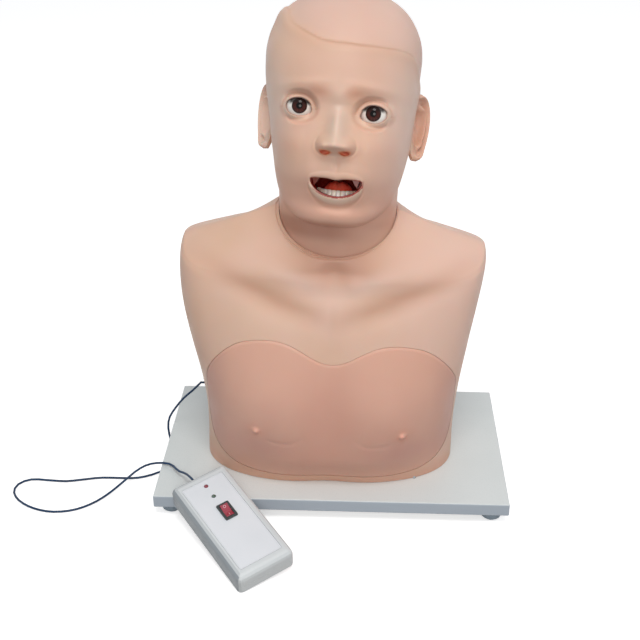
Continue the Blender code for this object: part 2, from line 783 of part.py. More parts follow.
def chest_surface(x, z):
    """The y of the chest's front at each x and height: a search along the loft."""
    rows = torso_rows()
    low, high = np.zeros_like(x), np.full_like(x, float(SHOULDER_EDGE_RING))
    for _ in range(26):
        middle = (low + high) / 2
        row = catmull_rom(rows, middle.ravel()).T.reshape(9, *x.shape)
        front_y, front_z, side_x, side_y, side_z, _, _, square, _ = row
        across = np.clip(np.abs(x + torso_sway(z)) / side_x, 0, 1)
        reach = (1 - across**square) ** (1 / square)
        height = side_z + (front_z - side_z) * reach
        low, high = np.where(height < z, middle, low), np.where(height < z, high, middle)
    y = side_y + (front_y - side_y) * reach
    facing = step(reach ** (square / 2), 0.05, 0.5) * step(-y, 0.0, 0.03)
    return y - chest_relief(x, z) * facing


def cover_outline(margin):
    """Functions for the cover's lowest and highest height at each x, grown by margin all round."""
    half = COVER_HALF_WIDTH + margin

    def side_fall(x):
        return (1 - np.clip(np.abs(x) / half, 0, 1) ** COVER_CORNER_POWER) ** (1 / COVER_CORNER_POWER)

    def top(x):
        hump = COVER_TOP_HUMP + margin - COVER_SIDE_HEIGHT
        dip = COVER_TOP_DIP * np.exp(-((x / COVER_DIP_WIDTH) ** 2))
        outward = COVER_FALL * np.clip((np.abs(x) - COVER_HUMP_X) / (half - COVER_HUMP_X), 0, 1) ** 2
        return COVER_SIDE_HEIGHT + (hump - dip - outward) * side_fall(x)

    def bottom(x):
        depth = COVER_SIDE_HEIGHT - COVER_BOTTOM + margin
        return COVER_SIDE_HEIGHT - depth * side_fall(x)

    return half, bottom, top


def cover_grid(margin, columns=20, levels=7):
    """x and height of a grid over the cover's area, closer together towards its edges."""
    half, bottom, top = cover_outline(margin)
    across = np.sin(np.linspace(-1, 1, columns + 1) * math.pi / 2 * 0.985) / math.sin(math.pi / 2 * 0.985)
    x = np.repeat((half * 0.999 * across)[:, None], levels + 1, axis=1)
    up = np.linspace(0, 1, levels + 1)[None]
    z = bottom(x) + (top(x) - bottom(x)) * up
    return x, z


def plate_mesh(name, x, z, front, back):
    """A closed plate between two height fields over one grid."""
    columns, levels = x.shape

    def build(bm):
        sheets = []
        for y in (front, back):
            points = np.stack([x, y, z], axis=2)
            sheets.append([[bm.verts.new(points[i, j]) for j in range(levels)] for i in range(columns)])
        for sheet in sheets:
            for i in range(columns - 1):
                for j in range(levels - 1):
                    bm.faces.new((sheet[i][j], sheet[i + 1][j], sheet[i + 1][j + 1], sheet[i][j + 1]))
        edge = [(i, 0) for i in range(columns)] + [(columns - 1, j) for j in range(1, levels)]
        edge += [(i, levels - 1) for i in range(columns - 2, -1, -1)]
        edge += [(0, j) for j in range(levels - 2, 0, -1)]
        for (i, j), (k, m) in zip(edge, edge[1:] + edge[:1]):
            bm.faces.new((sheets[0][i][j], sheets[0][k][m], sheets[1][k][m], sheets[1][i][j]))

    return mesh_from(name, build)


def make_chest_cover(bust):
    """The soft chest cover, seated in the recess that the torso keeps for it."""
    x, z = cover_grid(0.0)
    skin = chest_surface(x, z)
    nipples = NIPPLE_RISE * bump(np.abs(x), z, NIPPLE_X, NIPPLE_HEIGHT, NIPPLE_RADIUS, NIPPLE_RADIUS)
    front = skin - COVER_PROUD - nipples
    mesh = plate_mesh("chest_cover", x, stood_height(x, z), front, skin - COVER_PROUD + COVER_THICKNESS)
    return part("chest_cover", mesh, bust, ("cover", 0.45))


def make_torso(ground, bust):
    """The hollow torso with its collar, its inward lip on the board and the cover's recess."""
    rows = torso_rows()
    last = len(rows) - 1
    positions = np.arange(last + 1)
    mesh = loft("torso_shell", torso_points(positions, turn_angles(36, 0.12), rows))
    torso = part("torso_shell", mesh, bust, ("skin", 0.45))
    neck_hole = cylinder_mesh("neck_hole", NECK_RADIUS + RUNNING_GAP, -0.060, 0.050, 40)
    gland_hole = cylinder_mesh("gland_hole", GLAND_SPIGOT_RADIUS + GAP, -0.02, 0.02, 16)
    tools = [
        torso_core(bust, "torso_core", TORSO_WALL, TORSO_WALL),
        torso_core(bust, "torso_floor_opening", TORSO_LIP, -OVERCUT, below=TORSO_WALL + OVERCUT),
        cutter("neck_hole", neck_hole, bust, neck_matrix()),
        cover_recess(bust),
        cutter("gland_hole", gland_hole, bust, gland_matrix()),
    ]
    for name, x, y in bust_screw_places():
        hole = cylinder_mesh(name, SCREW_SHANK_RADIUS + GAP, -OVERCUT, BUST_SCREW_BITE + GAP, 12)
        tools.append(cutter(name + "_pilot", hole, ground, Matrix.Translation((x, y, BOARD_TOP))))
    for tool in tools:
        boolean(torso, tool, solver="MANIFOLD")
    return torso


def torso_core(bust, name, wall, floor, below=0.0):
    """The torso's hollow, wall inside its skin, from height floor up; with below, only its lowest band."""
    rows = torso_rows(wall, wall, wall, wall * 1.15)
    last = len(rows) - 1
    positions = np.linspace(0, 1, 2) if below else np.linspace(0, last, 10)
    points = rings(rows, positions, turn_angles(24))
    points[0, :, 2] = floor
    if below:
        points[-1, :, 2] = below
    points[..., 0] -= torso_sway(points[..., 2])
    points[..., 2] = stood_height(points[..., 0], points[..., 2])
    return cutter(name, loft(name, points), bust)


def cover_recess(bust):
    """The recess for the chest cover: its area and a seam, down to a floor just under the cover."""
    x, z = cover_grid(COVER_SEAM)
    skin = chest_surface(x, z)
    floor = skin - COVER_PROUD + COVER_THICKNESS + GAP
    return cutter("cover_recess", plate_mesh("cover_recess", x, stood_height(x, z), skin - 0.02, floor), bust)


def neck_matrix(turn=0.0):
    """The neck's axis in the bust's frame: the origin in the collar's plane, Z up the neck."""
    pivot = Matrix.Translation((0, NECK_PIVOT_Y, NECK_PIVOT_HEIGHT))
    return pivot @ Matrix.Rotation(NECK_TILT, 4, "X") @ Matrix.Rotation(turn, 4, "Z")


def gland_matrix():
    """The gland's place in the bust's frame: the origin on the torso's left side, Z out of it."""
    return Matrix.Translation((GLAND_X, GLAND_Y, GLAND_HEIGHT)) @ Matrix.Rotation(math.radians(-90), 4, "Y")


def bust_screw_places():
    """Name and place of each screw that holds the bust to the board."""
    for end, y in (("front", BUST_SCREW_FRONT_Y), ("rear", BUST_SCREW_REAR_Y)):
        for side, x in (("left", -BUST_SCREW_X), ("right", BUST_SCREW_X)):
            yield f"bust_screw_{end}_{side}", x, y


# Board


def make_board(ground):
    """The board, bored and countersunk from below for the bust's screws and the feet's."""
    size = (BOARD_WIDTH, BOARD_DEPTH, BOARD_THICKNESS)
    mesh = box_mesh("base_board", size, (0, 0, BOARD_BOTTOM + BOARD_THICKNESS / 2))
    board = part("base_board", mesh, ground, ("board", 0.5), smooth=False)
    bevel(board, BOARD_EDGE_RADIUS, 2)
    for name, x, y in bust_screw_places():
        hole = cylinder_mesh(name, SCREW_SHANK_RADIUS + GAP, BOARD_BOTTOM - OVERCUT, BOARD_TOP + OVERCUT, 12)
        boolean(board, cutter(name + "_hole", hole, ground, Matrix.Translation((x, y, 0))))
        sink = cylinder_mesh(name, SCREW_HEAD_RADIUS + 2 * GAP, BOARD_BOTTOM - OVERCUT,
                             BOARD_BOTTOM + SCREW_HEAD_HEIGHT + GAP, 16)
        boolean(board, cutter(name + "_sink", sink, ground, Matrix.Translation((x, y, 0))))
    for end, side, x, y in foot_places():
        hole = cylinder_mesh(end, SCREW_SHANK_RADIUS + GAP, BOARD_BOTTOM - OVERCUT,
                             BOARD_BOTTOM + FOOT_SCREW_BITE + GAP, 12)
        boolean(board, cutter(f"foot_{end}_{side}_pilot", hole, ground, Matrix.Translation((x, y, 0))))
    return board


def foot_places():
    """End, side and place of each foot."""
    for end, y in (("front", -1), ("rear", 1)):
        for side, x in (("left", -1), ("right", 1)):
            yield end, side, x * (BOARD_WIDTH / 2 - FOOT_INSET), y * (BOARD_DEPTH / 2 - FOOT_INSET)


def screw(name, frame, place, head_low, tip):
    """A pan-headed screw, head down: its head begins at head_low and its tip is at height tip."""
    head_top = head_low + SCREW_HEAD_HEIGHT
    profile = (
        (0.0, tip),
        (SCREW_SHANK_RADIUS * 0.6, tip - 0.0008),
        (SCREW_SHANK_RADIUS, tip - 0.0022),
        (SCREW_SHANK_RADIUS, head_top),
        (SCREW_HEAD_RADIUS, head_top),
        (SCREW_HEAD_RADIUS * 0.92, head_low + SCREW_HEAD_HEIGHT * 0.35),
        (SCREW_HEAD_RADIUS * 0.6, head_low),
        (0.0, head_low),
    )
    return turned(name, profile, frame, ("steel", 0.35, 1.0), 8, Matrix.Translation(place))


def make_feet(ground):
    """Domed rubber feet, each with its screw in a pocket."""
    pocket_top = FOOT_POCKET_DEPTH
    for end, side, x, y in foot_places():
        profile = (
            (FOOT_BORE_RADIUS, FOOT_HEIGHT),
            (FOOT_RADIUS, FOOT_HEIGHT),
            (FOOT_RADIUS, FOOT_HEIGHT * 0.52),
            (FOOT_RADIUS * 0.90, FOOT_HEIGHT * 0.20),
            (FOOT_RADIUS * 0.66, 0.0),
            (FOOT_POCKET_RADIUS, 0.0),
            (FOOT_POCKET_RADIUS, pocket_top),
            (FOOT_BORE_RADIUS, pocket_top),
        )
        turned(f"foot_{end}_{side}", profile, ground, ("foot", 0.7), 18, Matrix.Translation((x, y, 0)))
        head_low = pocket_top - SCREW_HEAD_HEIGHT - GAP
        screw(f"foot_screw_{end}_{side}", ground, (x, y, 0), head_low, BOARD_BOTTOM + FOOT_SCREW_BITE)


def make_bust_screws(ground):
    """The screws that hold the bust, from under the board."""
    for name, x, y in bust_screw_places():
        tip = BOARD_TOP + BUST_SCREW_BITE - GAP
        screw(name, ground, (x, y, 0), BOARD_BOTTOM, tip)


# Head


def face_matrix():
    """The face's frame in the bust's."""
    return Matrix.Translation((0, SKULL_Y, SKULL_HEIGHT)) @ Matrix.Rotation(-FACE_PITCH, 4, "X")


def face_relief(x, z):
    """How far the face stands out of the plain skull, forwards."""
    mouth_x, nose_x = x - MOUTH_X, x - NOSE_X
    down = np.clip((NOSE_TIP_Z + NOSE_LENGTH - z) / NOSE_LENGTH, 0, 1)
    under = step(z, NOSE_TIP_Z - 0.0105, NOSE_TIP_Z + 0.0040)
    width = NOSE_HALF_WIDTH * (0.75 + 0.70 * down)
    slant = 0.22 * step(down, 0, 0.35) + 0.78 * down**1.5
    ridge = NOSE_RISE * slant * under * np.exp(-((nose_x / width) ** 2))
    reach = np.where(z > MOUTH_Z, MOUTH_UPPER + LIP_BREADTH_UP, MOUTH_LOWER + LIP_BREADTH_DOWN)
    round_mouth = np.sqrt((mouth_x / (MOUTH_HALF_WIDTH + 0.002)) ** 2 + ((z - MOUTH_Z) / reach) ** 2)
    lips = LIP_RISE * np.exp(-(((round_mouth - 0.80) / 0.30) ** 2))
    eyes = hills(x - EYES_SHIFT, z, EYE_HILLS)
    return ridge + lips + eyes + hills(nose_x, z, NOSE_HILLS) + hills(mouth_x, z, CHIN_HILLS)


def swayed(points):
    """The skull's points, those near the crown moved to the left."""
    points[..., 0] -= SKULL_SWAY * step(points[..., 2], SKULL_SWAY_LOW, SKULL_SWAY_HIGH)
    return points


def skull_points(positions, angles):
    """Rings of the skull's surface in the face's frame, with the face on its front."""
    points = swayed(rings(inset(SKULL_RINGS, 0, 0, 0, 0, 0), positions, angles))
    facing = step(np.cos(angles), 0.15, 0.6)[None]
    points[..., 1] -= face_relief(points[..., 0], points[..., 2]) * facing
    return points


def ear_mesh(name, side):
    """One ear: a leaf with a rolled rim, an inner ridge and a bowl, in its own plane; side is -1 or 1."""
    around, rise_rows = 18, (0.0, 0.30, 0.58, 0.78, 0.91, 1.0)
    turn = turn_angles(around)
    wave = 1 + 0.10 * np.cos(turn) - 0.13 * np.sin(turn) * 0.5 - 0.05 * np.cos(2 * turn)
    half_high, half_wide = EAR_HEIGHT / 2, EAR_WIDTH / 2
    tall = half_high * np.cos(turn) * (1 - 0.03 * np.cos(turn))
    outline = np.stack([half_wide * wave * np.sin(turn), tall], 1)

    def height(share, angle):
        total = -EAR_BOWL_DEPTH * np.exp(-((share / 0.38) ** 2))
        for rise, place, half, start, fade in EAR_FOLDS:
            fold = np.exp(-(((share - place) / half) ** 2))
            total = total + rise * fold * step(np.sin(angle), start, start + fade)
        return total

    front = [np.stack([share * outline[:, 0], share * outline[:, 1], height(share, turn)], 1)
             for share in rise_rows[1:]]
    back = [np.stack([share * outline[:, 0], share * outline[:, 1],
                      np.full(around, -EAR_THICKNESS * (0.55 + 0.75 * (1 - share)))], 1)
            for share in (0.97, 0.55)]
    points = np.stack(front + back)
    mesh = loft(name, points, (0, 0, height(0.0, 0.0)), (0, 0, -EAR_THICKNESS * 1.35))
    place = Matrix.Translation((EARS_SHIFT + side * (EAR_X - EAR_SINK), EAR_Y - EAR_WIDTH * 0.28, EAR_Z))
    lean = Matrix.Rotation(-EAR_LEAN, 4, "X")
    flare = Matrix.Rotation(-side * EAR_FLARE, 4, "Z")
    stand = Matrix(((0, 0, side, 0), (1, 0, 0, 0), (0, 1, 0, 0), (0, 0, 0, 1)))
    shift = Matrix.Translation((EAR_WIDTH * 0.42, 0, 0))
    mesh.transform(place @ lean @ flare @ stand @ shift)
    if side < 0:
        mesh.flip_normals()
    return mesh


def make_head(head):
    """The head and neck moulding: skull, face, ears and a plain round neck, hollow, with its openings."""
    face = face_matrix()
    spans = np.concatenate([np.arange(0, 4, 1), np.arange(4, 12, 0.4), np.arange(12, len(SKULL_RINGS))])
    mesh = loft("head_skin", skull_points(spans, turn_angles(42, 0.72)), CHIN_CAP, CROWN)
    skin = part("head_skin", mesh, head, ("skin", 0.45), face)
    neck = cylinder_mesh("neck", NECK_RADIUS, -PLUG_DEPTH, NECK_TOP, 36)
    added = [cutter("neck", neck, head, neck_matrix(), smooth=True)]
    cuts = [
        head_core(head, "skull_core", 0.0),
        neck_bore(head, "neck_bore", 0.0),
        cutter("mouth_opening", mouth_mesh(), head, face),
    ]
    for side, word in ((-1, "left"), (1, "right")):
        added.append(cutter(f"ear_{word}", ear_mesh(f"ear_{word}", side), head, face))
        place = face @ eye_place(side)
        pocket = ellipsoid_mesh("eye_pocket", [EYEBALL_RADIUS + GAP] * 3, 12, 18)
        cuts.append(cutter(f"eye_pocket_{word}", pocket, head, place))
        opening = cylinder_mesh("eye_opening", 1.0, EYE_OPENING_START, EYE_OPENING_END, 20)
        opening.transform(Matrix.Diagonal((EYE_OPENING_HALF_WIDTH, EYE_OPENING_HALF_HEIGHT, 1, 1)))
        forward = Matrix.Rotation(math.radians(90), 4, "X")
        cuts.append(cutter(f"eye_opening_{word}", opening, head, place @ forward))
        nostril = ellipsoid_mesh("nostril", NOSTRIL_RADII, 6, 10)
        inward = Matrix.Translation((NOSE_X + side * NOSTRIL_X, NOSTRIL_Y, NOSTRIL_Z))
        cuts.append(cutter(f"nostril_{word}", nostril, head, face @ inward))
    for tool in added:
        boolean(skin, tool, "UNION", "MANIFOLD")
    for tool in cuts:
        boolean(skin, tool, "DIFFERENCE", "MANIFOLD")
    return skin


def head_core(head, name, clearance):
    """The skull's hollow, clearance smaller all round."""
    side = SKULL_WALL + clearance
    rows = inset(SKULL_RINGS, FACE_WALL + clearance, side, side, 0, 0)
    last = len(rows) - 1
    rows[:4, [1, 4, 6]] += side + SKULL_CORE_RISE
    rows[last - 3 :, [1, 4, 6]] -= side
    points = swayed(rings(rows, np.linspace(1, last, 11), turn_angles(20)))
    return cutter(name, loft(name, points), head, face_matrix())


def neck_bore(head, name, clearance):
    """The neck's hollow, clearance smaller all round."""
    radius = NECK_RADIUS - NECK_WALL - clearance
    bore = cylinder_mesh(name, radius, -PLUG_DEPTH - OVERCUT, NECK_BORE_TOP, 32)
    return cutter(name, bore, head, neck_matrix())


def mouth_mesh():
    """The mouth's opening, from the lips into the throat, low in the middle and high at its corners."""
    angles = turn_angles(28)
    across, up = np.sin(angles), np.cos(angles)
    points = []
    for y, grow in MOUTH_ROWS:
        half_high = np.where(up > 0, MOUTH_UPPER, MOUTH_LOWER)
        x = MOUTH_X + MOUTH_HALF_WIDTH * grow * across
        z = MOUTH_Z + half_high * grow * np.sign(up) * np.abs(up) ** 0.85
        points.append(np.stack([x, np.full_like(x, y), z], axis=1))
    return loft("mouth_opening", np.stack(points))


def eye_place(side):
    """The middle of an eyeball in the face's frame; side is -1 or 1."""
    return Matrix.Translation((EYES_SHIFT + side * EYE_X, EYE_Y, EYE_Z))


def make_eyes(head):
    """The eyeballs, each with a shallow iris facet, seated in the skin's pockets."""
    for side, word in ((-1, "left"), (1, "right")):
        facet = math.sqrt(EYEBALL_RADIUS**2 - IRIS_RADIUS**2)
        start = math.asin(IRIS_RADIUS / EYEBALL_RADIUS)
        arc = np.linspace(start, math.pi, 9)
        ball = [(EYEBALL_RADIUS * math.sin(a), EYEBALL_RADIUS * math.cos(a)) for a in arc[:-1]]
        iris = [(0.0, facet + IRIS_RISE), (IRIS_RADIUS * 0.55, facet + IRIS_RISE * 0.8)]
        profile = iris + ball + [(0.0, -EYEBALL_RADIUS)]
        place = eye_place(side) @ Matrix.Rotation(math.radians(90), 4, "X")
        turned(f"eye_{word}", profile, head, ("eye", 0.12), 18, face_matrix() @ place)


# Throat


def tube_points(rows, grow, start=0.0, end=None, around=16):
    """Rings along a bent tube in the midline plane; rows are y, z, half-width and half-height in mm."""
    knots = np.asarray(rows, float) * MM
    end = len(knots) - 1 if end is None else end
    positions = np.linspace(start, end, 2 * math.ceil(end - start) + 1)
    path = catmull_rom(knots, positions)
    run = (catmull_rom(knots, positions + 0.01) - catmull_rom(knots, positions - 0.01))[:, :2]
    run /= np.linalg.norm(run, axis=1)[:, None]
    angles = turn_angles(around)
    x = (path[:, 2] + grow)[:, None] * np.sin(angles)[None]
    lift = (path[:, 3] + grow)[:, None] * np.cos(angles)[None]
    y = path[:, 0][:, None] - run[:, 1][:, None] * lift
    z = path[:, 1][:, None] + run[:, 0][:, None] * lift
    return np.stack([x, y, z], axis=2)


def throat_bore(head, name, grow):
    """The hollow of mouth and pharynx, running past both of the lining's ends."""
    points = tube_points(THROAT_RINGS, grow, end=LARYNX_ROW + 0.5)
    points[0, :, 1] -= OVERCUT
    return cutter(name, loft(name, points), head, face_matrix())


def lips_limit(head):
    """All that lies in front of the inside of the lips, less a gap."""
    block = box_mesh("lips_limit", LIPS_BLOCK, LIPS_BLOCK_PLACE)
    limit = cutter("lips_limit", block, head, face_matrix())
    return boolean(limit, head_core(head, "mouth_front", GAP), "DIFFERENCE", "MANIFOLD")


def make_throat(head):
    """The lining of mouth and pharynx, and what lies in it: tongue, teeth, soft palate and sensor."""
    face = face_matrix()
    front, hollow = lips_limit(head), throat_bore(head, "mouth_hollow", -GAP)
    outer = loft("throat_lining", tube_points(THROAT_RINGS, THROAT_WALL, end=LARYNX_ROW))
    lining = part("throat_lining", outer, head, ("mucosa", 0.3), face)
    boolean(lining, throat_bore(head, "throat_bore", 0.0), solver="MANIFOLD")
    boolean(lining, front, solver="MANIFOLD")

    place = face @ Matrix.Translation((0, SENSOR_Y, SENSOR_Z)) @ Matrix.Rotation(-SENSOR_SLANT, 4, "X")
    hole = cylinder_mesh("sensor_hole", SENSOR_RADIUS + GAP, -0.006, 0.008, 20)
    boolean(lining, cutter("sensor_hole", hole, head, place), solver="MANIFOLD")
    flange = THROAT_WALL + GAP
    profile = (
        (0.0, flange + SENSOR_BACK),
        (SENSOR_RADIUS, flange + SENSOR_BACK),
        (SENSOR_FLANGE_RADIUS, flange + SENSOR_BACK / 2),
        (SENSOR_FLANGE_RADIUS, flange),
        (SENSOR_RADIUS, flange),
        (SENSOR_RADIUS, SENSOR_CHAMFER - SENSOR_FACE),
        (SENSOR_RADIUS * 0.85, -SENSOR_FACE),
        (0.0, -SENSOR_FACE),
    )
    turned("throat_sensor", profile, head, ("tongue", 0.3), 20, place)

    muscle = tube_points(TONGUE_RINGS, 0.0, around=14)
    muscle[..., 0] += MOUTH_X
    tongue = part("tongue", loft("tongue", muscle), head, ("tongue", 0.35), face)
    half = TEETH_HEIGHT / 2
    lower = teeth_mesh("lower_teeth", LOWER_TEETH_Y, (LOWER_TEETH_Z - half, 1.0),
                       (LOWER_TEETH_Z + half, TEETH_NARROW))
    upper = teeth_mesh("upper_teeth", UPPER_TEETH_Y, (UPPER_TEETH_Z - half, TEETH_NARROW),
                       (UPPER_TEETH_Z + half, 1.0))
    teeth = [part(mesh.name, mesh, head, ("enamel", 0.2), face, smooth=False) for mesh in (lower, upper)]
    palate = part("soft_palate", palate_mesh(), head, ("mucosa", 0.3), face)
    for piece in (tongue, *teeth, palate):
        boolean(piece, hollow, "INTERSECT", "MANIFOLD")
        boolean(piece, front, solver="MANIFOLD")


def palate_mesh():
    """The soft palate: a curtain whose lower edge is two arches with the uvula between them."""
    columns = np.linspace(-1, 1, 29) * PALATE_HALF_WIDTH
    outward = np.abs(columns) / PALATE_HALF_WIDTH
    arches = PALATE_ARCH_Z - PALATE_ARCH_DROP * step(outward, 0.36, 0.8)
    low = arches - UVULA_LENGTH * np.exp(-((columns / UVULA_HALF_WIDTH) ** 2))
    share = np.linspace(0, 1, 3)[None]
    x = np.repeat(columns[:, None], 3, axis=1)
    z = low[:, None] * (1 - share) + PALATE_TOP_Z * share
    half = PALATE_THICKNESS / 2
    return plate_mesh("soft_palate", x, z, np.full_like(x, PALATE_Y - half), np.full_like(x, PALATE_Y + half))


def teeth_mesh(name, front_y, foot, top, teeth=12):
    """A dental arch, scalloped between its crowns; foot and top are each a height and a share of thickness."""
    angles = np.linspace(-math.pi / 2, math.pi / 2, teeth * 2 + 1)
    middle = -TEETH_THICKNESS / 2
    points = []
    for i, angle in enumerate(angles):
        c, s = math.cos(angle), math.sin(angle)
        x, y = MOUTH_X + TEETH_ARCH_HALF_WIDTH * s, front_y + TEETH_ARCH_DEPTH * (1 - c)
        normal = Vector((TEETH_ARCH_DEPTH * s, -TEETH_ARCH_HALF_WIDTH * c)).normalized()
        notch = -TEETH_NOTCH if i % 2 == 0 else 0.0
        section = []
        for out, (z, share) in ((0.0, foot), (0.0, top), (-1.0, top), (-1.0, foot)):
            depth = middle + (out * TEETH_THICKNESS - middle) * share + notch
            section.append((x + normal.x * depth, y + normal.y * depth, z))
        points.append(section)

    def build(bm):
        rows = [[bm.verts.new(point) for point in section] for section in points]
        for here, there in zip(rows, rows[1:]):
            for i in range(4):
                bm.faces.new((here[i], here[(i + 1) % 4], there[(i + 1) % 4], there[i]))
        bm.faces.new(rows[0])
        bm.faces.new(rows[-1])

    return mesh_from(name, build)


# Larynx and neck bearing


def passage(head, name, rows):
    """A passage through the larynx, from its rings in the neck's frame."""
    knots = np.asarray(rows, float) * MM
    path = catmull_rom(knots, np.linspace(0, len(knots) - 1, len(knots) + 3))
    z, y, half_width, half_depth = (column[:, None] for column in path.T)
    angles = turn_angles(14)
    x = half_width * np.sin(angles)[None]
    points = np.stack([x, y - half_depth * np.cos(angles)[None], z + 0 * x], axis=2)
    return cutter(name, loft(name, points), head, neck_matrix())


def make_larynx(head):
    """The larynx with its epiglottis and vocal folds, and the windpipe and gullet on the neck's plug."""
    neck = neck_matrix()
    start = LARYNX_ROW + GAP / 0.0125
    points = tube_points(THROAT_RINGS, THROAT_WALL, start, len(THROAT_RINGS) - 1)
    larynx = part("larynx", loft("larynx", points), head, ("cartilage", 0.35), face_matrix())
    foot = box_mesh("larynx_foot", (0.08, 0.08, 0.06), (0, WINDPIPE_Y, LARYNX_FOOT - 0.03))
    boolean(larynx, cutter("larynx_foot", foot, head, neck), solver="MANIFOLD")
    boolean(larynx, passage(head, "airway", AIRWAY_RINGS), solver="MANIFOLD")
    boolean(larynx, passage(head, "food_way", FOOD_WAY_RINGS), solver="MANIFOLD")
    leaf = ellipsoid_mesh("epiglottis", EPIGLOTTIS_RADII, 8, 12)
    lean = Matrix.Translation((0, EPIGLOTTIS_Y, EPIGLOTTIS_Z)) @ Matrix.Rotation(EPIGLOTTIS_SLANT, 4, "X")
    boolean(larynx, cutter("epiglottis", leaf, head, neck @ lean), "UNION", "MANIFOLD")

    low, high = -PLUG_DEPTH + PLUG_THICKNESS + GAP, LARYNX_FOOT - GAP
    for name, y, radius in (("windpipe", WINDPIPE_Y, WINDPIPE_RADIUS), ("gullet", GULLET_Y, GULLET_RADIUS)):
        inner = radius - PIPE_WALL
        profile = ((inner, high), (radius, high), (radius, low), (inner, low))
        turned(name, profile, head, ("cartilage", 0.4), 24, neck @ Matrix.Translation((0, y, 0)))


def make_neck_bearing(bust, head):
    """The plug that closes the neck, the cup that it turns in, and the bolt that holds them together."""
    neck = neck_matrix()
    top, floor = -PLUG_DEPTH + PLUG_THICKNESS, -PLUG_DEPTH - GAP
    bore = PIVOT_RADIUS + GAP
    inner = NECK_RADIUS + RUNNING_GAP
    outer = inner + SOCKET_WALL
    cup = (
        (inner, SOCKET_RIM),
        (outer, SOCKET_RIM),
        (outer, floor - SOCKET_FLOOR),
        (bore, floor - SOCKET_FLOOR),
        (bore, floor),
        (inner, floor),
    )
    socket = turned("neck_socket", cup, bust, ("black", 0.5), 36, neck)
    limit = torso_core(bust, "socket_limit", TORSO_WALL + GAP, TORSO_WALL)
    boolean(socket, limit, "INTERSECT", "MANIFOLD")

    edge = NECK_RADIUS - NECK_WALL - GAP
    plug = ((bore, top), (edge, top), (edge, -PLUG_DEPTH), (bore, -PLUG_DEPTH))
    turned("neck_plug", plug, head, ("nylon", 0.5), 32, neck)

    washer_low, washer_high = top + GAP, top + GAP + PIVOT_WASHER_THICKNESS
    washer = (
        (bore, washer_high),
        (PIVOT_WASHER_RADIUS, washer_high),
        (PIVOT_WASHER_RADIUS, washer_low),
        (bore, washer_low),
    )
    turned("pivot_washer", washer, bust, ("steel", 0.3, 1.0), 24, neck)
    head_low, nut_high = washer_high + GAP, floor - SOCKET_FLOOR - GAP
    tip = nut_high - PIVOT_NUT_HEIGHT - PIVOT_END
    bolt = (
        (0.0, head_low + PIVOT_HEAD_HEIGHT),
        (PIVOT_HEAD_RADIUS * 0.7, head_low + PIVOT_HEAD_HEIGHT),
        (PIVOT_HEAD_RADIUS, head_low + PIVOT_HEAD_HEIGHT * 0.6),
        (PIVOT_HEAD_RADIUS, head_low),
        (PIVOT_RADIUS, head_low),
        (PIVOT_RADIUS, tip + PIVOT_END / 2),
        (PIVOT_RADIUS * 0.75, tip),
        (0.0, tip),
    )
    turned("pivot_bolt", bolt, bust, ("steel", 0.3, 1.0), 24, neck)
    nut = cylinder_mesh("pivot_nut", PIVOT_NUT_RADIUS, nut_high - PIVOT_NUT_HEIGHT, nut_high, 6)
    nut = part("pivot_nut", nut, bust, ("steel", 0.3, 1.0), neck, smooth=False)
    thread = cylinder_mesh("pivot_thread", bore, tip - OVERCUT, head_low, 24)
    boolean(nut, cutter("pivot_thread", thread, bust, neck))


# Control box


def box_matrix():
    """The control box's place: its near left corner on the floor, its underside on the board's front edge."""
    tilt = math.atan2(BOARD_TOP + BOX_SETTLE, -BOARD_DEPTH / 2 - BOX_FOOT_CORNER_Y)
    corner = Matrix.Translation((BOX_FOOT_CORNER_X, BOX_FOOT_CORNER_Y, -BOX_SETTLE))
    turn = Matrix.Rotation(tilt, 4, "X") @ Matrix.Rotation(BOX_YAW, 4, "Z")
    return corner @ turn @ Matrix.Translation((BOX_WIDTH / 2, BOX_LENGTH / 2, 0))


def rounded_ring(half_x, half_y, radius, z, per_corner=3):
    """Points round a rectangle with rounded corners."""
    turn = np.linspace(0, math.pi / 2, per_corner + 1)
    points = []
    for quarter, (side, end) in enumerate(((1, 1), (-1, 1), (-1, -1), (1, -1))):
        angle = turn + quarter * math.pi / 2
        x = side * (half_x - radius) + radius * np.cos(angle)
        y = end * (half_y - radius) + radius * np.sin(angle)
        points.append(np.stack([x, y, np.full_like(x, z)], axis=1))
    return np.concatenate(points)


def rounded_block(name, width, length, corner, low, high, low_edge=0.0, high_edge=0.0, centre=(0, 0)):
    """An upright block with rounded corners, its edges rounded at its foot and top where asked."""
    def arc(edge):
        turn = np.linspace(0, math.pi / 2, 4) if edge else [0.0]
        return [(edge * (1 - math.sin(a)), edge * (1 - math.cos(a))) for a in turn]

    levels = [(inset, low + rise) for inset, rise in arc(low_edge)]
    levels += [(inset, high - rise) for inset, rise in reversed(arc(high_edge))]
    points = [
        rounded_ring(width / 2 - inset, length / 2 - inset, max(corner - inset, corner * 0.2), z)
        for inset, z in levels
    ]
    return loft(name, np.stack(points) + np.array((*centre, 0)))


def strain_relief(name, frame, place, radius, spigot, proud, depth):
    """A round grommet with its flange on the outside of a wall and its spigot through it; Z is outwards."""
    profile = (
        (0.0, proud),
        (radius * 0.72, proud),
        (radius * 0.86, proud - radius * 0.16),
        (radius * 0.90, proud * 0.45),
        (radius, proud * 0.40),
        (radius, GAP),
        (spigot, GAP),
        (spigot, -depth),
        (0.0, -depth),
    )
    return turned(name, profile, frame, ("black", 0.5), 20, place)


def bush_matrix():
    """The box's bush: the origin on the far end's wall, Z out of it."""
    place = Matrix.Translation((BUSH_X, BOX_LENGTH / 2, BUSH_HEIGHT))
    return place @ Matrix.Rotation(math.radians(-90), 4, "X")


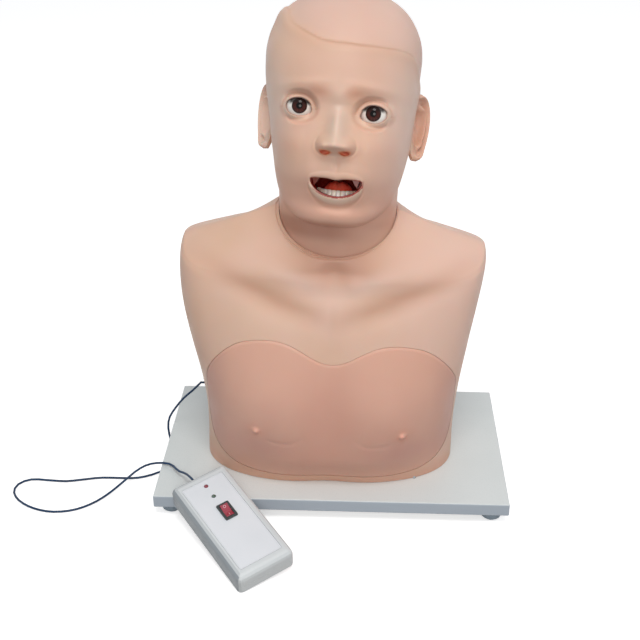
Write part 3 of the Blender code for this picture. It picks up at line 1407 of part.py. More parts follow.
def box_holes(box):
    """The cutters that the label and the upper shell share: the lamps' holes and the switch's."""
    tools = []
    for word, y in (("red", RED_LAMP_Y), ("green", GREEN_LAMP_Y)):
        hole = cylinder_mesh(word, LAMP_RADIUS + GAP, BOX_HEIGHT - LAMP_DEPTH, BOX_HEIGHT + OVERCUT, 16)
        tools.append(cutter(word + "_lamp_hole", hole, box, Matrix.Translation((LAMP_X, y, 0))))
    size = (
        SWITCH_WIDTH - 2 * SWITCH_BODY_INSET + 2 * GAP,
        SWITCH_LENGTH - 2 * SWITCH_BODY_INSET + 2 * GAP,
        SWITCH_DEPTH,
    )
    slot = box_mesh("switch_hole", size, (SWITCH_X, SWITCH_Y, BOX_HEIGHT))
    return tools + [cutter("switch_hole", slot, box)]


def make_box_shells(box):
    """The box's two shells and its panel label."""
    holes = box_holes(box)
    inner_width, inner_length = BOX_WIDTH - 2 * BOX_WALL, BOX_LENGTH - 2 * BOX_WALL
    inner_corner = BOX_CORNER_RADIUS - BOX_WALL
    floor, ceiling = BOX_WALL, BOX_HEIGHT - BOX_WALL
    places = (("front", -BOX_SCREW_Y), ("rear", BOX_SCREW_Y))

    outside = rounded_block("box_upper_shell", BOX_WIDTH, BOX_LENGTH, BOX_CORNER_RADIUS, BOX_SPLIT + GAP,
                            BOX_HEIGHT, high_edge=BOX_TOP_RADIUS)
    upper = part("box_upper_shell", outside, box, ("box", 0.45))
    room = rounded_block("upper_room", inner_width, inner_length, inner_corner, BOX_SPLIT - OVERCUT, ceiling,
                         high_edge=BOX_TOP_RADIUS - BOX_WALL)
    boolean(upper, cutter("upper_room", room, box))
    for end, y in places:
        post = cylinder_mesh("post", POST_RADIUS, BOX_SPLIT + GAP, ceiling + BOX_WALL / 2, 16)
        boolean(upper, cutter(f"box_post_{end}", post, box, Matrix.Translation((0, y, 0))), "UNION")
        pilot = cylinder_mesh("pilot", SCREW_SHANK_RADIUS + GAP, 0, BOX_SPLIT + BOX_SCREW_BITE + GAP, 12)
        boolean(upper, cutter(f"box_pilot_{end}", pilot, box, Matrix.Translation((0, y, 0))))
    seat = rounded_block("label_seat", LABEL_WIDTH + 2 * GAP, LABEL_LENGTH + 2 * GAP,
                         LABEL_CORNER_RADIUS + GAP, BOX_HEIGHT - LABEL_THICKNESS - GAP, BOX_HEIGHT + OVERCUT)
    boolean(upper, cutter("label_seat", seat, box))
    bush = cylinder_mesh("bush_hole", BUSH_SPIGOT_RADIUS + GAP, -BOX_WALL - OVERCUT / 2, OVERCUT, 16)
    boolean(upper, cutter("bush_hole", bush, box, bush_matrix()))

    plate = rounded_block("panel_label", LABEL_WIDTH, LABEL_LENGTH, LABEL_CORNER_RADIUS,
                          BOX_HEIGHT - LABEL_THICKNESS, BOX_HEIGHT)
    label = part("panel_label", plate, box, ("label", 0.4), smooth=False)
    for tool in holes:
        boolean(upper, tool)
        boolean(label, tool)

    outside = rounded_block("box_lower_shell", BOX_WIDTH, BOX_LENGTH, BOX_CORNER_RADIUS, 0, BOX_SPLIT,
                            low_edge=BOX_FOOT_EDGE)
    lower = part("box_lower_shell", outside, box, ("box", 0.45))
    room = rounded_block("lower_room", inner_width, inner_length, inner_corner, floor, BOX_SPLIT + OVERCUT)
    boolean(lower, cutter("lower_room", room, box))
    for end, y in places:
        boss = cylinder_mesh("boss", BOSS_RADIUS, floor / 2, BOX_SPLIT, 20)
        boolean(lower, cutter(f"box_boss_{end}", boss, box, Matrix.Translation((0, y, 0))), "UNION")
        way = cylinder_mesh("way", SCREW_SHANK_RADIUS + GAP, -OVERCUT, BOX_SPLIT + OVERCUT, 12)
        boolean(lower, cutter(f"box_way_{end}", way, box, Matrix.Translation((0, y, 0))))
        sink = cylinder_mesh("sink", SCREW_HEAD_RADIUS + GAP, -OVERCUT, SCREW_HEAD_HEIGHT + 2 * GAP, 16)
        boolean(lower, cutter(f"box_sink_{end}", sink, box, Matrix.Translation((0, y, 0))))
    for word, y in (("near", CIRCUIT_Y - RIB_OFFSET), ("far", CIRCUIT_Y + RIB_OFFSET)):
        top = CIRCUIT_HEIGHT - GAP
        rib = box_mesh("rib", (CIRCUIT_WIDTH, RIB_THICKNESS, top - floor / 2), (0, y, (top + floor / 2) / 2))
        boolean(lower, cutter(f"circuit_rib_{word}", rib, box), "UNION")
    size = (DOOR_WIDTH + 2 * GAP, DOOR_LENGTH + 2 * GAP, 4 * BOX_WALL)
    door = box_mesh("door_opening", size, (0, BATTERY_Y, 0))
    boolean(lower, cutter("door_opening", door, box))


def make_box_contents(box):
    """What the box holds: circuit board, buzzer, battery and its door, lamps and screws."""
    size = (CIRCUIT_WIDTH, CIRCUIT_LENGTH, CIRCUIT_THICKNESS)
    circuit = box_mesh("circuit_board", size, (0, CIRCUIT_Y, CIRCUIT_HEIGHT + CIRCUIT_THICKNESS / 2))
    part("circuit_board", circuit, box, ("board_green", 0.4), smooth=False)
    low = CIRCUIT_HEIGHT + CIRCUIT_THICKNESS + GAP
    profile = (
        (0.0, low + BUZZER_HEIGHT - 0.0008),
        (BUZZER_RADIUS * 0.25, low + BUZZER_HEIGHT - 0.0008),
        (BUZZER_RADIUS * 0.25, low + BUZZER_HEIGHT),
        (BUZZER_RADIUS, low + BUZZER_HEIGHT),
        (BUZZER_RADIUS, low),
        (0.0, low),
    )
    turned("buzzer", profile, box, ("black", 0.5), 24, Matrix.Translation((BUZZER_X, BUZZER_Y, 0)))
    floor = BOX_WALL + GAP
    cell = rounded_block("battery", BATTERY_WIDTH, BATTERY_LENGTH, BATTERY_CORNER_RADIUS, floor,
                         floor + BATTERY_HEIGHT, centre=(0, BATTERY_Y))
    part("battery", cell, box, ("cell", 0.35))
    door = box_mesh("battery_door", (DOOR_WIDTH, DOOR_LENGTH, BOX_WALL), (0, BATTERY_Y, BOX_WALL / 2))
    part("battery_door", door, box, ("box", 0.45), smooth=False)
    under = BOX_HEIGHT - BOX_WALL - GAP
    for word, y in (("red", RED_LAMP_Y), ("green", GREEN_LAMP_Y)):
        profile = (
            (0.0, BOX_HEIGHT + LAMP_PROUD),
            (LAMP_RADIUS * 0.55, BOX_HEIGHT + LAMP_PROUD * 0.85),
            (LAMP_RADIUS * 0.88, BOX_HEIGHT + LAMP_PROUD * 0.45),
            (LAMP_RADIUS, BOX_HEIGHT),
            (LAMP_RADIUS, under),
            (LAMP_FLANGE_RADIUS, under),
            (LAMP_FLANGE_RADIUS, BOX_HEIGHT - LAMP_DEPTH),
            (0.0, BOX_HEIGHT - LAMP_DEPTH),
        )
        turned(word + "_lamp", profile, box, (word + "_lamp", 0.15), 16, Matrix.Translation((LAMP_X, y, 0)))
    for end, y in (("front", -BOX_SCREW_Y), ("rear", BOX_SCREW_Y)):
        screw(f"box_screw_{end}", box, (0, y, 0), GAP, BOX_SPLIT + BOX_SCREW_BITE)


def make_switch(box):
    """The rocker switch: a frame through the panel, and the rocker on its pins."""
    pivot_z = BOX_HEIGHT + GAP + SWITCH_BEZEL - ROCKER_PIVOT_DROP
    pivot = Matrix.Translation((SWITCH_X, SWITCH_Y, pivot_z))
    well_width, well_length = SWITCH_WIDTH - 2 * SWITCH_BORDER, SWITCH_LENGTH - 2 * SWITCH_BORDER
    low, high = BOX_HEIGHT + GAP, BOX_HEIGHT + GAP + SWITCH_BEZEL
    flange = rounded_block("switch_frame", SWITCH_WIDTH, SWITCH_LENGTH, SWITCH_CORNER_RADIUS, low, high,
                           high_edge=SWITCH_EDGE_RADIUS, centre=(SWITCH_X, SWITCH_Y))
    frame = part("switch_frame", flange, box, ("bezel", 0.4))
    body_low = BOX_HEIGHT - SWITCH_DEPTH
    size = (SWITCH_WIDTH - 2 * SWITCH_BODY_INSET, SWITCH_LENGTH - 2 * SWITCH_BODY_INSET,
            SWITCH_DEPTH + GAP + SWITCH_BEZEL / 2)
    body = box_mesh("switch_body", size, (SWITCH_X, SWITCH_Y, body_low + size[2] / 2))
    boolean(frame, cutter("switch_body", body, box), "UNION")
    well_low = body_low + SWITCH_FLOOR
    well_height = BOX_HEIGHT + OVERCUT - well_low
    well = box_mesh("switch_well", (well_width, well_length, well_height),
                    (SWITCH_X, SWITCH_Y, well_low + well_height / 2))
    boolean(frame, cutter("switch_well", well, box))
    across = Matrix.Rotation(math.radians(90), 4, "Y")
    reach = well_width / 2 + ROCKER_PIN_BITE
    bearing = cylinder_mesh("rocker_bearing", ROCKER_PIN_RADIUS + GAP, -reach - GAP, reach + GAP, 16)
    boolean(frame, cutter("rocker_bearing", bearing, box, pivot @ across))

    rocking = Frame("rocker_axis", box, pivot @ Matrix.Rotation(ROCKER_TILT, 4, "X"))
    half_length = well_length / 2 - ROCKER_END_GAP
    half_width = well_width / 2 - ROCKER_SIDE_GAP
    run = np.linspace(1, -1, 9)
    dish = ROCKER_END_RISE - ROCKER_MIDDLE_RISE
    section = [(y * half_length, ROCKER_MIDDLE_RISE + dish * y * y) for y in run]
    section += [(-half_length * 0.8, -ROCKER_FOOT), (half_length * 0.8, -ROCKER_FOOT)]
    rocker = part("switch_rocker", prism_mesh("switch_rocker", section, half_width), rocking, ("rocker", 0.3))
    pin = cylinder_mesh("rocker_pin", ROCKER_PIN_RADIUS, -reach, reach, 16)
    boolean(rocker, cutter("rocker_pin", pin, rocking, across), "UNION")


def prism_mesh(name, section, half_width):
    """A bar along X with one section, given as y and z round its outline."""
    def build(bm):
        ends = [[bm.verts.new((x, y, z)) for y, z in section] for x in (-half_width, half_width)]
        for i in range(len(section)):
            j = (i + 1) % len(section)
            bm.faces.new((ends[0][i], ends[0][j], ends[1][j], ends[1][i]))
        for end in ends:
            bm.faces.new(end)

    return mesh_from(name, build)


# Lead


def make_lead(ground, gland, bush):
    """The lead from the gland's tip to the bush's along its route; gland and bush are world matrices."""
    ends = []
    for place, proud in ((gland, GLAND_PROUD), (bush, BUSH_PROUD)):
        ends.append([np.array(place @ Vector((0, 0, proud + out))) for out in (GAP, CORD_LEAD_OUT)])
    knots = np.vstack([ends[0], np.array(CORD_ROUTE) * MM, ends[1][::-1]])
    fine = catmull_rom(knots, np.linspace(1, len(knots) - 2, 40 * len(knots)))
    run = np.concatenate([[0], np.cumsum(np.linalg.norm(np.diff(fine, axis=0), axis=1))])
    places = np.linspace(0, run[-1], round(run[-1] / CORD_SPACING) + 1)
    bends = np.stack([np.interp(places, run, fine[:, axis]) for axis in range(3)], axis=1)
    points = np.vstack([knots[:1], bends, knots[-1:]])
    curve = bpy.data.curves.new("signal_cable", "CURVE")
    curve.dimensions = "3D"
    curve.bevel_depth = CORD_RADIUS
    curve.bevel_resolution = 2
    curve.use_fill_caps = True
    spline = curve.splines.new("POLY")
    spline.points.add(len(points) - 1)
    for place, point in zip(spline.points, points):
        place.co = (*point, 1)
    curve.materials.append(material("signal_cable_finish", "lead", 0.5))
    cable = bpy.data.objects.new("signal_cable", curve)
    PARTS.objects.link(cable)
    ground.take(cable)


def centre_on_floor(ground):
    """Moves everything so that the origin lies under the middle of all but the lead."""
    graph = bpy.context.evaluated_depsgraph_get()
    corners = []
    for obj in PARTS.objects:
        if obj.type == "MESH":
            seen = obj.evaluated_get(graph)
            corners += [seen.matrix_world @ vertex.co for vertex in seen.data.vertices]
    low, high = np.min(corners, axis=0), np.max(corners, axis=0)
    ground.empty.location = (-(low[0] + high[0]) / 2, -(low[1] + high[1]) / 2, -low[2])


PARTS = CUTTERS = None


def main():
    """Builds every piece."""
    global PARTS, CUTTERS
    clear_scene()
    PARTS = new_collection("throat_examination_manikin")
    CUTTERS = new_collection("cutters")
    ground = Frame("manikin_origin", None, Matrix.Identity(4))
    lean = Matrix.Translation((BUST_SHIFT, 0, BOARD_TOP)) @ Matrix.Rotation(BUST_LEAN, 4, "Y")
    bust = Frame("bust", ground, lean)
    head = Frame("neck_axis", bust, neck_matrix(HEAD_TURN), neck_matrix())
    box = Frame("control_box", ground, box_matrix())
    make_board(ground)
    make_feet(ground)
    make_bust_screws(ground)
    make_torso(ground, bust)
    make_chest_cover(bust)
    make_head(head)
    make_eyes(head)
    make_throat(head)
    make_larynx(head)
    make_neck_bearing(bust, head)
    make_box_shells(box)
    make_box_contents(box)
    make_switch(box)
    gland = (GLAND_RADIUS, GLAND_SPIGOT_RADIUS, GLAND_PROUD, TORSO_WALL)
    bush = (BUSH_RADIUS, BUSH_SPIGOT_RADIUS, BUSH_PROUD, BOX_WALL)
    strain_relief("cable_gland", bust, gland_matrix(), *gland)
    strain_relief("cable_bush", box, bush_matrix(), *bush)
    make_lead(ground, lean @ gland_matrix(), box_matrix() @ bush_matrix())
    centre_on_floor(ground)


main()
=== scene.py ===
"""The looks of the throat examination manikin, built round its solid model.

A bust of soft vinyl stands on a footed board, its head turned a little, with an open mouth to look into and a
control box on a lead. The moulded surfaces are drawn again here finer than the solids, and every surface
gets its own finish. Metres, +Z up, the face towards -Y, and left is -X.
"""

import logging
import math
from collections.abc import Iterable, Sequence
from dataclasses import dataclass, field
from enum import Enum

import bmesh
import bpy
import numpy as np
from mathutils import Matrix, Vector


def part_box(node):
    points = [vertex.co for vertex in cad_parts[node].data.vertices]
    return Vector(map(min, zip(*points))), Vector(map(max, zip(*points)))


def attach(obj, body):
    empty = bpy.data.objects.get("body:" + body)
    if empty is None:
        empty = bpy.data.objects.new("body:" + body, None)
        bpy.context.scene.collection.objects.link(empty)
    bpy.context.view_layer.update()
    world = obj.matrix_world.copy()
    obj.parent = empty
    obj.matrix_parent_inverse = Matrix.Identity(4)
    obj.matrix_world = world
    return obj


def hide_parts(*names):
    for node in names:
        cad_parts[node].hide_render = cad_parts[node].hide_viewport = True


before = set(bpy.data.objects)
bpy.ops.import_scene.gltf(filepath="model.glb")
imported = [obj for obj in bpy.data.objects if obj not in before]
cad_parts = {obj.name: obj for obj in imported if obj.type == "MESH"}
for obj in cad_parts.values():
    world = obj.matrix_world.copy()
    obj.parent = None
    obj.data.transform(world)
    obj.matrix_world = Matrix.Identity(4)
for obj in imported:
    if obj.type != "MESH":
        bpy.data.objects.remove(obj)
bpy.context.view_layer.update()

LOG = logging.getLogger("manikin")
MM = 0.001
GAP = 0.0003
OVERCUT = 0.004

# Driving places and angles, the same as in the solid model
BOARD_TOP = 0.0285
BOARD_FRONT = -0.120
FOOT_REACH = 0.0135     # from the floor to the board's underside
BUST_PLACE = (-0.0045, 0.0, BOARD_TOP)
BUST_LEAN = math.radians(1.4)
COLLAR = (0.002, 0.3025)     # y and height of the collar's middle in the bust
NECK_TILT = math.radians(18)
HEAD_TURN = math.radians(-4.5)
FACE_PLACE = (0.0, 0.012, 0.4265)
FACE_TILT = math.radians(-17)
BOX_SIZE = (0.068, 0.148)
BOX_CORNER = (-0.0893, -0.2446)     # the corner that rests on the floor
BOX_TURN = math.radians(36.2)
BOX_SETTLE = 0.0004
ROCKER_PIVOT = (0.0022, 0.0113, 0.0243)
ROCKER_TILT = math.radians(8)

Array = np.ndarray
Mesh = bpy.types.Mesh
Object = bpy.types.Object
Tree = bpy.types.NodeTree
Socket = bpy.types.NodeSocket
Colour = tuple[float, float, float, float]
Inputs = dict[str | int, object]
Table = tuple[tuple[float, ...], ...]


class Body(Enum):
    """The bodies that pieces ride on."""

    BASE = "base"
    HEAD = "head"
    ROCKER = "rocker"


class Cut(Enum):
    """What a Boolean does with its tool."""

    JOIN = "UNION"
    TAKE = "DIFFERENCE"


# Colours and shader nodes


def hex_colour(text: str) -> Colour:
    """An sRGB hex colour as the linear colour that a shader takes.

    Args:
        text: the colour as #RRGGBB.

    Returns:
        Red, green, blue and 1, linear.
    """
    channels = [int(text.lstrip("#")[i : i + 2], 16) / 255 for i in (0, 2, 4)]
    linear = [c / 12.92 if c <= 0.04045 else ((c + 0.055) / 1.055) ** 2.4 for c in channels]
    return (linear[0], linear[1], linear[2], 1.0)


def add_node(tree: Tree, kind: str, inputs: Inputs | None = None, **settings: object) -> bpy.types.Node:
    """Adds a node with its settings, values and links.

    Args:
        tree: the node tree that takes it.
        kind: the node's type.
        inputs: a value, or another node's output, for each socket's name or number.
        settings: the node's own properties.

    Returns:
        The node.
    """
    node = tree.nodes.new(kind)
    for name, value in settings.items():
        setattr(node, name, value)
    for socket, value in (inputs or {}).items():
        if isinstance(value, Socket):
            tree.links.new(value, node.inputs[socket])
        else:
            node.inputs[socket].default_value = value
    return node


def local_to(tree: Tree, place: Matrix | None) -> Socket:
    """Object coordinates in metres, turned into the frame of a place if one is given.

    Args:
        tree: the material's tree.
        place: the frame's matrix in the scene, or None for the scene's own.

    Returns:
        The vector output.
    """
    where = add_node(tree, "ShaderNodeTexCoord").outputs["Object"]
    if place is None:
        return where
    location, turn, _ = place.inverted().decompose()
    inputs: Inputs = {"Vector": where, "Location": location, "Rotation": turn.to_euler()}
    return add_node(tree, "ShaderNodeMapping", inputs).outputs["Vector"]


def patches(tree: Tree, where: Socket, size: float, low: float, high: float,
            most: float = 1.0, least: float = 0.0, detail: float = 2.0) -> Socket:
    """Soft patches of chance, as a value that drifts between two ends.

    Args:
        tree: the material's tree.
        where: the place on the surface.
        size: how wide a patch is, in mm.
        low: the chance below which the value stays at its least.
        high: the chance above which it stays at its most.
        most: the upper end.
        least: the lower end.
        detail: how finely the patches' edges are broken.

    Returns:
        The value's output.
    """
    inputs: Inputs = {"Vector": where, "Scale": 1 / (size * MM), "Detail": detail, "Roughness": 0.55}
    chance = add_node(tree, "ShaderNodeTexNoise", inputs).outputs[0]
    ends: Inputs = {"Value": chance, "From Min": low, "From Max": high, "To Min": least, "To Max": most}
    return add_node(tree, "ShaderNodeMapRange", ends, clamp=True).outputs[0]


def tinted(tree: Tree, under: object, colour: str, value: Socket, low: float, high: float,
           most: float = 1.0) -> Socket:
    """Lays a colour over another where a value runs from low to high.

    Args:
        tree: the material's tree.
        under: the colour, or the colour output, that it lies on.
        colour: the colour laid over it, as #RRGGBB.
        value: the value's output.
        low: the value where it begins to show.
        high: the value where it shows most.
        most: how much it then covers, as a share.

    Returns:
        The colour output.
    """
    ends: Inputs = {"Value": value, "From Min": low, "From Max": high, "To Min": 0.0, "To Max": most}
    share = add_node(tree, "ShaderNodeMapRange", ends, clamp=True).outputs[0]
    return add_node(tree, "ShaderNodeMix", {0: share, 6: under, 7: hex_colour(colour)},
                    data_type="RGBA").outputs[2]


# Finishes


@dataclass(frozen=True)
class Finish:
    """A moulded or cast surface: two colours that it drifts between, and a fine relief.

    Sizes are in mm. The grain is drawn about 1 mm coarse where the real one is finer, because a pixel of the
    picture is about 1 mm.
    """

    name: str
    colour: str
    drift_colour: str
    drift: float = 30.0
    roughness: float = 0.45
    roughness_spread: float = 0.08
    grain: float = 1.2
    relief: float = 0.012
    settings: tuple[tuple[str, float], ...] = ()
    place: Matrix | None = None

    def tint(self, tree: Tree, where: Socket) -> Socket:
        """The colour over the surface."""
        drift = patches(tree, where, self.drift, 0.3, 0.7)
        return tinted(tree, hex_colour(self.colour), self.drift_colour, drift, 0, 1)

    def height(self, tree: Tree, where: Socket) -> Socket:
        """The relief over the surface, 0 to 1."""
        inputs: Inputs = {"Vector": where, "Scale": 1 / (self.grain * MM), "Detail": 3.0, "Roughness": 0.55}
        return add_node(tree, "ShaderNodeTexNoise", inputs).outputs[0]

    def material(self) -> bpy.types.Material:
        """The finish as a material.

        Returns:
            The material.
        """
        made = bpy.data.materials.new(self.name)
        made.use_nodes = True
        tree = made.node_tree
        shader = tree.nodes["Principled BSDF"]
        where = local_to(tree, self.place)
        tree.links.new(self.tint(tree, where), shader.inputs["Base Color"])
        low, high = self.roughness - self.roughness_spread, self.roughness + self.roughness_spread
        tree.links.new(patches(tree, where, self.drift / 3, 0.3, 0.7, high, low), shader.inputs["Roughness"])
        relief: Inputs = {"Distance": self.relief * MM, "Height": self.height(tree, where)}
        tree.links.new(add_node(tree, "ShaderNodeBump", relief).outputs[0], shader.inputs["Normal"])
        for socket, value in self.settings:
            shader.inputs[socket].default_value = value
        made.diffuse_color = hex_colour(self.colour)
        return made


@dataclass(frozen=True)
class PaintedVinyl(Finish):
    """Soft rotation-moulded PVC with tints, painted shade and highlights sprayed where the paint attribute
    says.
    """

    def tint(self, tree: Tree, where: Socket) -> Socket:
        """The vinyl's own colour with the sprayed tints, painted shade and highlights over it.

        Args:
            tree: the material's tree.
            where: the place on the surface.

        Returns:
            The colour output.
        """
        mottle = patches(tree, where, 4.0, 0.35, 0.65, detail=4.0)
        under = tinted(tree, super().tint(tree, where), self.drift_colour, mottle, 0, 1, 0.10)
        paint = add_node(tree, "ShaderNodeAttribute", attribute_name="paint").outputs["Color"]
        share = add_node(tree, "ShaderNodeAttribute", attribute_name="paint_share").outputs["Fac"]
        return add_node(tree, "ShaderNodeMix", {0: share, 6: under, 7: paint}, data_type="RGBA").outputs[2]


@dataclass(frozen=True)
class Laminate(Finish):
    """Melamine-faced board: a pale speckled face, greyer where it stands upright."""

    edge_colour: str = "#B0BBC6"
    speckle_colour: str = "#B9BFC0"

    def tint(self, tree: Tree, where: Socket) -> Socket:
        """Speckled on the faces, and greyer where the surface stands upright.

        Args:
            tree: the material's tree.
            where: the place on the surface.

        Returns:
            The colour output.
        """
        speckle = patches(tree, where, 1.5, 0.55, 0.7, detail=4.0)
        face = tinted(tree, super().tint(tree, where), self.speckle_colour, speckle, 0, 1, 0.25)
        normal = add_node(tree, "ShaderNodeNewGeometry").outputs["Normal"]
        up = add_node(tree, "ShaderNodeSeparateXYZ", {0: normal}).outputs["Z"]
        level = add_node(tree, "ShaderNodeMath", {0: up}, operation="ABSOLUTE").outputs[0]
        return tinted(tree, face, self.edge_colour, level, 0.8, 0.3)


@dataclass(frozen=True)
class EdgedPlastic(Finish):
    """Spark-eroded ABS, a fine matt sparkle; paler on edges that hands polish, with painted shade on its left
    side.
    """

    worn_colour: str = "#DDE1E0"
    shaded_side_colour: str = "#7F888F"

    def tint(self, tree: Tree, where: Socket) -> Socket:
        """The moulding's colour, paler along its convex edges, with painted shade darkening its left side.

        Args:
            tree: the material's tree.
            where: the place on the surface.

        Returns:
            The colour output.
        """
        shape = add_node(tree, "ShaderNodeNewGeometry").outputs
        top = tinted(tree, super().tint(tree, where), self.worn_colour, shape["Pointiness"], 0.52, 0.60, 0.5)
        # painted shade: darker where the surface faces left
        leftwards = add_node(tree, "ShaderNodeSeparateXYZ", {0: shape["Normal"]}).outputs["X"]
        return tinted(tree, top, self.shaded_side_colour, leftwards, -0.08, -0.40, 0.85)


@dataclass(frozen=True)
class PanelLabel(Finish):
    """A printed polyester label with a thin border line; its place is the control box's."""

    half_width: float = 0.0239
    half_length: float = 0.0617
    line: float = 0.00035
    ink: str = "#A9B3BC"

    def tint(self, tree: Tree, where: Socket) -> Socket:
        """The label's face with its border line.

        Args:
            tree: the material's tree.
            where: the place on the surface.

        Returns:
            The colour output.
        """
        parts = add_node(tree, "ShaderNodeSeparateXYZ", {0: where}).outputs
        runs = []
        for axis, half in (("X", self.half_width), ("Y", self.half_length)):
            side = add_node(tree, "ShaderNodeMath", {0: parts[axis]}, operation="ABSOLUTE").outputs[0]
            runs.append(add_node(tree, "ShaderNodeMath", {0: side, 1: half}, operation="SUBTRACT").outputs[0])
        edge = add_node(tree, "ShaderNodeMath", {0: runs[0], 1: runs[1]}, operation="MAXIMUM").outputs[0]
        off = add_node(tree, "ShaderNodeMath", {0: edge}, operation="ABSOLUTE").outputs[0]
        return tinted(tree, super().tint(tree, where), self.ink, off, self.line, self.line / 2, 0.20)


SKIN_SHEEN = (("Subsurface Weight", 0.18), ("Subsurface Scale", 0.004), ("Specular IOR Level", 0.42),
              ("IOR", 1.52))
WET = (("Coat Weight", 0.7), ("Coat Roughness", 0.08), ("IOR", 1.38), ("Subsurface Weight", 0.15),
       ("Subsurface Scale", 0.003))


# Meshes


def new_mesh(name: str, points: Array, faces: Iterable[Sequence[int]]) -> Mesh:
    """A mesh whose faces point outwards.

    Args:
        name: the mesh's name.
        points: its points, one row each.
        faces: each face's point numbers.

    Returns:
        The mesh.
    """
    mesh = bpy.data.meshes.new(name)
    mesh.from_pydata(points.tolist(), [], list(faces))
    bm = bmesh.new()
    bm.from_mesh(mesh)
    bmesh.ops.recalc_face_normals(bm, faces=bm.faces)
    bm.to_mesh(mesh)
    bm.free()
    return mesh


def loft(name: str, points: Array, first_tip: Sequence[float] | None = None,
         last_tip: Sequence[float] | None = None) -> Mesh:
    """A closed mesh through rings of points, each end closed at its tip or at its own middle.

    Args:
        name: the mesh's name.
        points: rings by points by xyz.
        first_tip: the point that closes the first ring.
        last_tip: the point that closes the last ring.

    Returns:
        The mesh.
    """
    count, around, _ = points.shape
    index = np.arange(count * around).reshape(count, around)
    low, high = index[:-1], index[1:]
    quads = np.stack([low, np.roll(low, -1, 1), np.roll(high, -1, 1), high], axis=2).reshape(-1, 4).tolist()
    tips = [points[0].mean(axis=0) if first_tip is None else np.array(first_tip)]
    tips.append(points[-1].mean(axis=0) if last_tip is None else np.array(last_tip))
    for ring, tip in ((index[0], count * around), (index[-1], count * around + 1)):
        quads += [[int(a), int(b), tip] for a, b in zip(ring, np.roll(ring, -1))]
    return new_mesh(name, np.vstack([points.reshape(-1, 3), tips]), quads)


def plate(name: str, x: Array, z: Array, front: Array, back: Array) -> Mesh:
    """A closed plate between two height fields over one grid.

    Args:
        name: the mesh's name.
        x: the grid's x, columns by levels.
        z: the grid's heights.
        front: the y of its front.
        back: the y of its back.

    Returns:
        The mesh.
    """
    columns, levels = x.shape
    size = columns * levels
    index = np.arange(size).reshape(columns, levels)
    cells = np.stack([index[:-1, :-1], index[1:, :-1], index[1:, 1:], index[:-1, 1:]], axis=2).reshape(-1, 4)
    edge = np.concatenate([index[:, 0], index[-1, 1:], index[-2::-1, -1], index[0, -2:0:-1]])
    after = np.roll(edge, -1)
    rim = np.stack([edge, after, after + size, edge + size], axis=1)
    faces = np.vstack([cells, cells + size, rim]).tolist()
    points = np.vstack([np.stack([x, y, z], axis=2).reshape(-1, 3) for y in (front, back)])
    return new_mesh(name, points, faces)


def looped(name: str, loops: Array) -> Mesh:
    """A ring-shaped mesh through closed loops of points, the last loop joined to the first.

    Args:
        name: the mesh's name.
        loops: loops by points by xyz.

    Returns:
        The mesh.
    """
    index = np.arange(loops.shape[0] * loops.shape[1]).reshape(loops.shape[:2])
    after = np.roll(index, -1, axis=0)
    faces = np.stack([index, np.roll(index, -1, 1), np.roll(after, -1, 1), after], axis=2).reshape(-1, 4)
    return new_mesh(name, loops.reshape(-1, 3), faces.tolist())


def cylinder(name: str, radius: float, low: float, high: float, around: int = 96, levels: int = 2) -> Mesh:
    """A closed cylinder about Z between two heights.

    Args:
        name: the mesh's name.
        radius: its radius.
        low: its lower end.
        high: its upper end.
        around: points round each ring.
        levels: rings along it.

    Returns:
        The mesh.
    """
    turn = np.arange(around) * 2 * math.pi / around
    rings = [np.stack([radius * np.cos(turn), radius * np.sin(turn), np.full(around, z)], axis=1)
             for z in np.linspace(low, high, levels)]
    return loft(name, np.stack(rings))


def ball(name: str, radii: Sequence[float], rings: int = 32, around: int = 48) -> Mesh:
    """An ellipsoid about the origin.

    Args:
        name: the mesh's name.
        radii: its radii along X, Y and Z.
        rings: rings between its poles.
        around: points round each ring.

    Returns:
        The mesh.
    """
    fall = np.linspace(0, math.pi, rings + 2)[1:-1, None]
    turn = (np.arange(around) * 2 * math.pi / around)[None]
    x, y = np.sin(fall) * np.cos(turn), np.sin(fall) * np.sin(turn)
    points = np.stack([x, y, np.cos(fall) + 0 * turn], axis=2) * np.array(radii)
    return loft(name, points, (0, 0, radii[2]), (0, 0, -radii[2]))


def block(name: str, size: Sequence[float], middle: Sequence[float]) -> Mesh:
    """A box that only cuts.

    Args:
        name: the mesh's name.
        size: its lengths along X, Y and Z.
        middle: its middle.

    Returns:
        The mesh.
    """
    x, y, z = (half / 2 for half in size)
    ring = np.array([(x, y), (-x, y), (-x, -y), (x, -y)])
    rings = [np.column_stack([ring, np.full(4, height)]) for height in (-z, z)]
    return loft(name, np.stack(rings) + np.array(middle))


def catmull_rom(knots: object, positions: Array) -> Array:
    """Smooth curves through the rows of knots, read at positions from 0 to the last row's index.

    Args:
        knots: rows of values.
        positions: where to read, in rows.

    Returns:
        One row for each position.
    """
    knots = np.asarray(knots, float)
    last = len(knots) - 1
    span = np.clip(np.floor(positions).astype(int), 0, last - 1)
    t = (positions - span)[:, None]
    here, there = knots[span], knots[span + 1]
    start = (there - knots[np.maximum(span - 1, 0)]) / 2
    end = (knots[np.minimum(span + 2, last)] - here) / 2
    first = (2 * t**3 - 3 * t**2 + 1) * here + (t**3 - 2 * t**2 + t) * start
    return first + (3 * t**2 - 2 * t**3) * there + (t**3 - t**2) * end


def turn_angles(around: int, crowd: float = 0.0) -> Array:
    """Angles round a ring from the front, closer together at the front where crowd is over 0."""
    even = np.arange(around) * 2 * math.pi / around
    return even - crowd * np.sin(even)


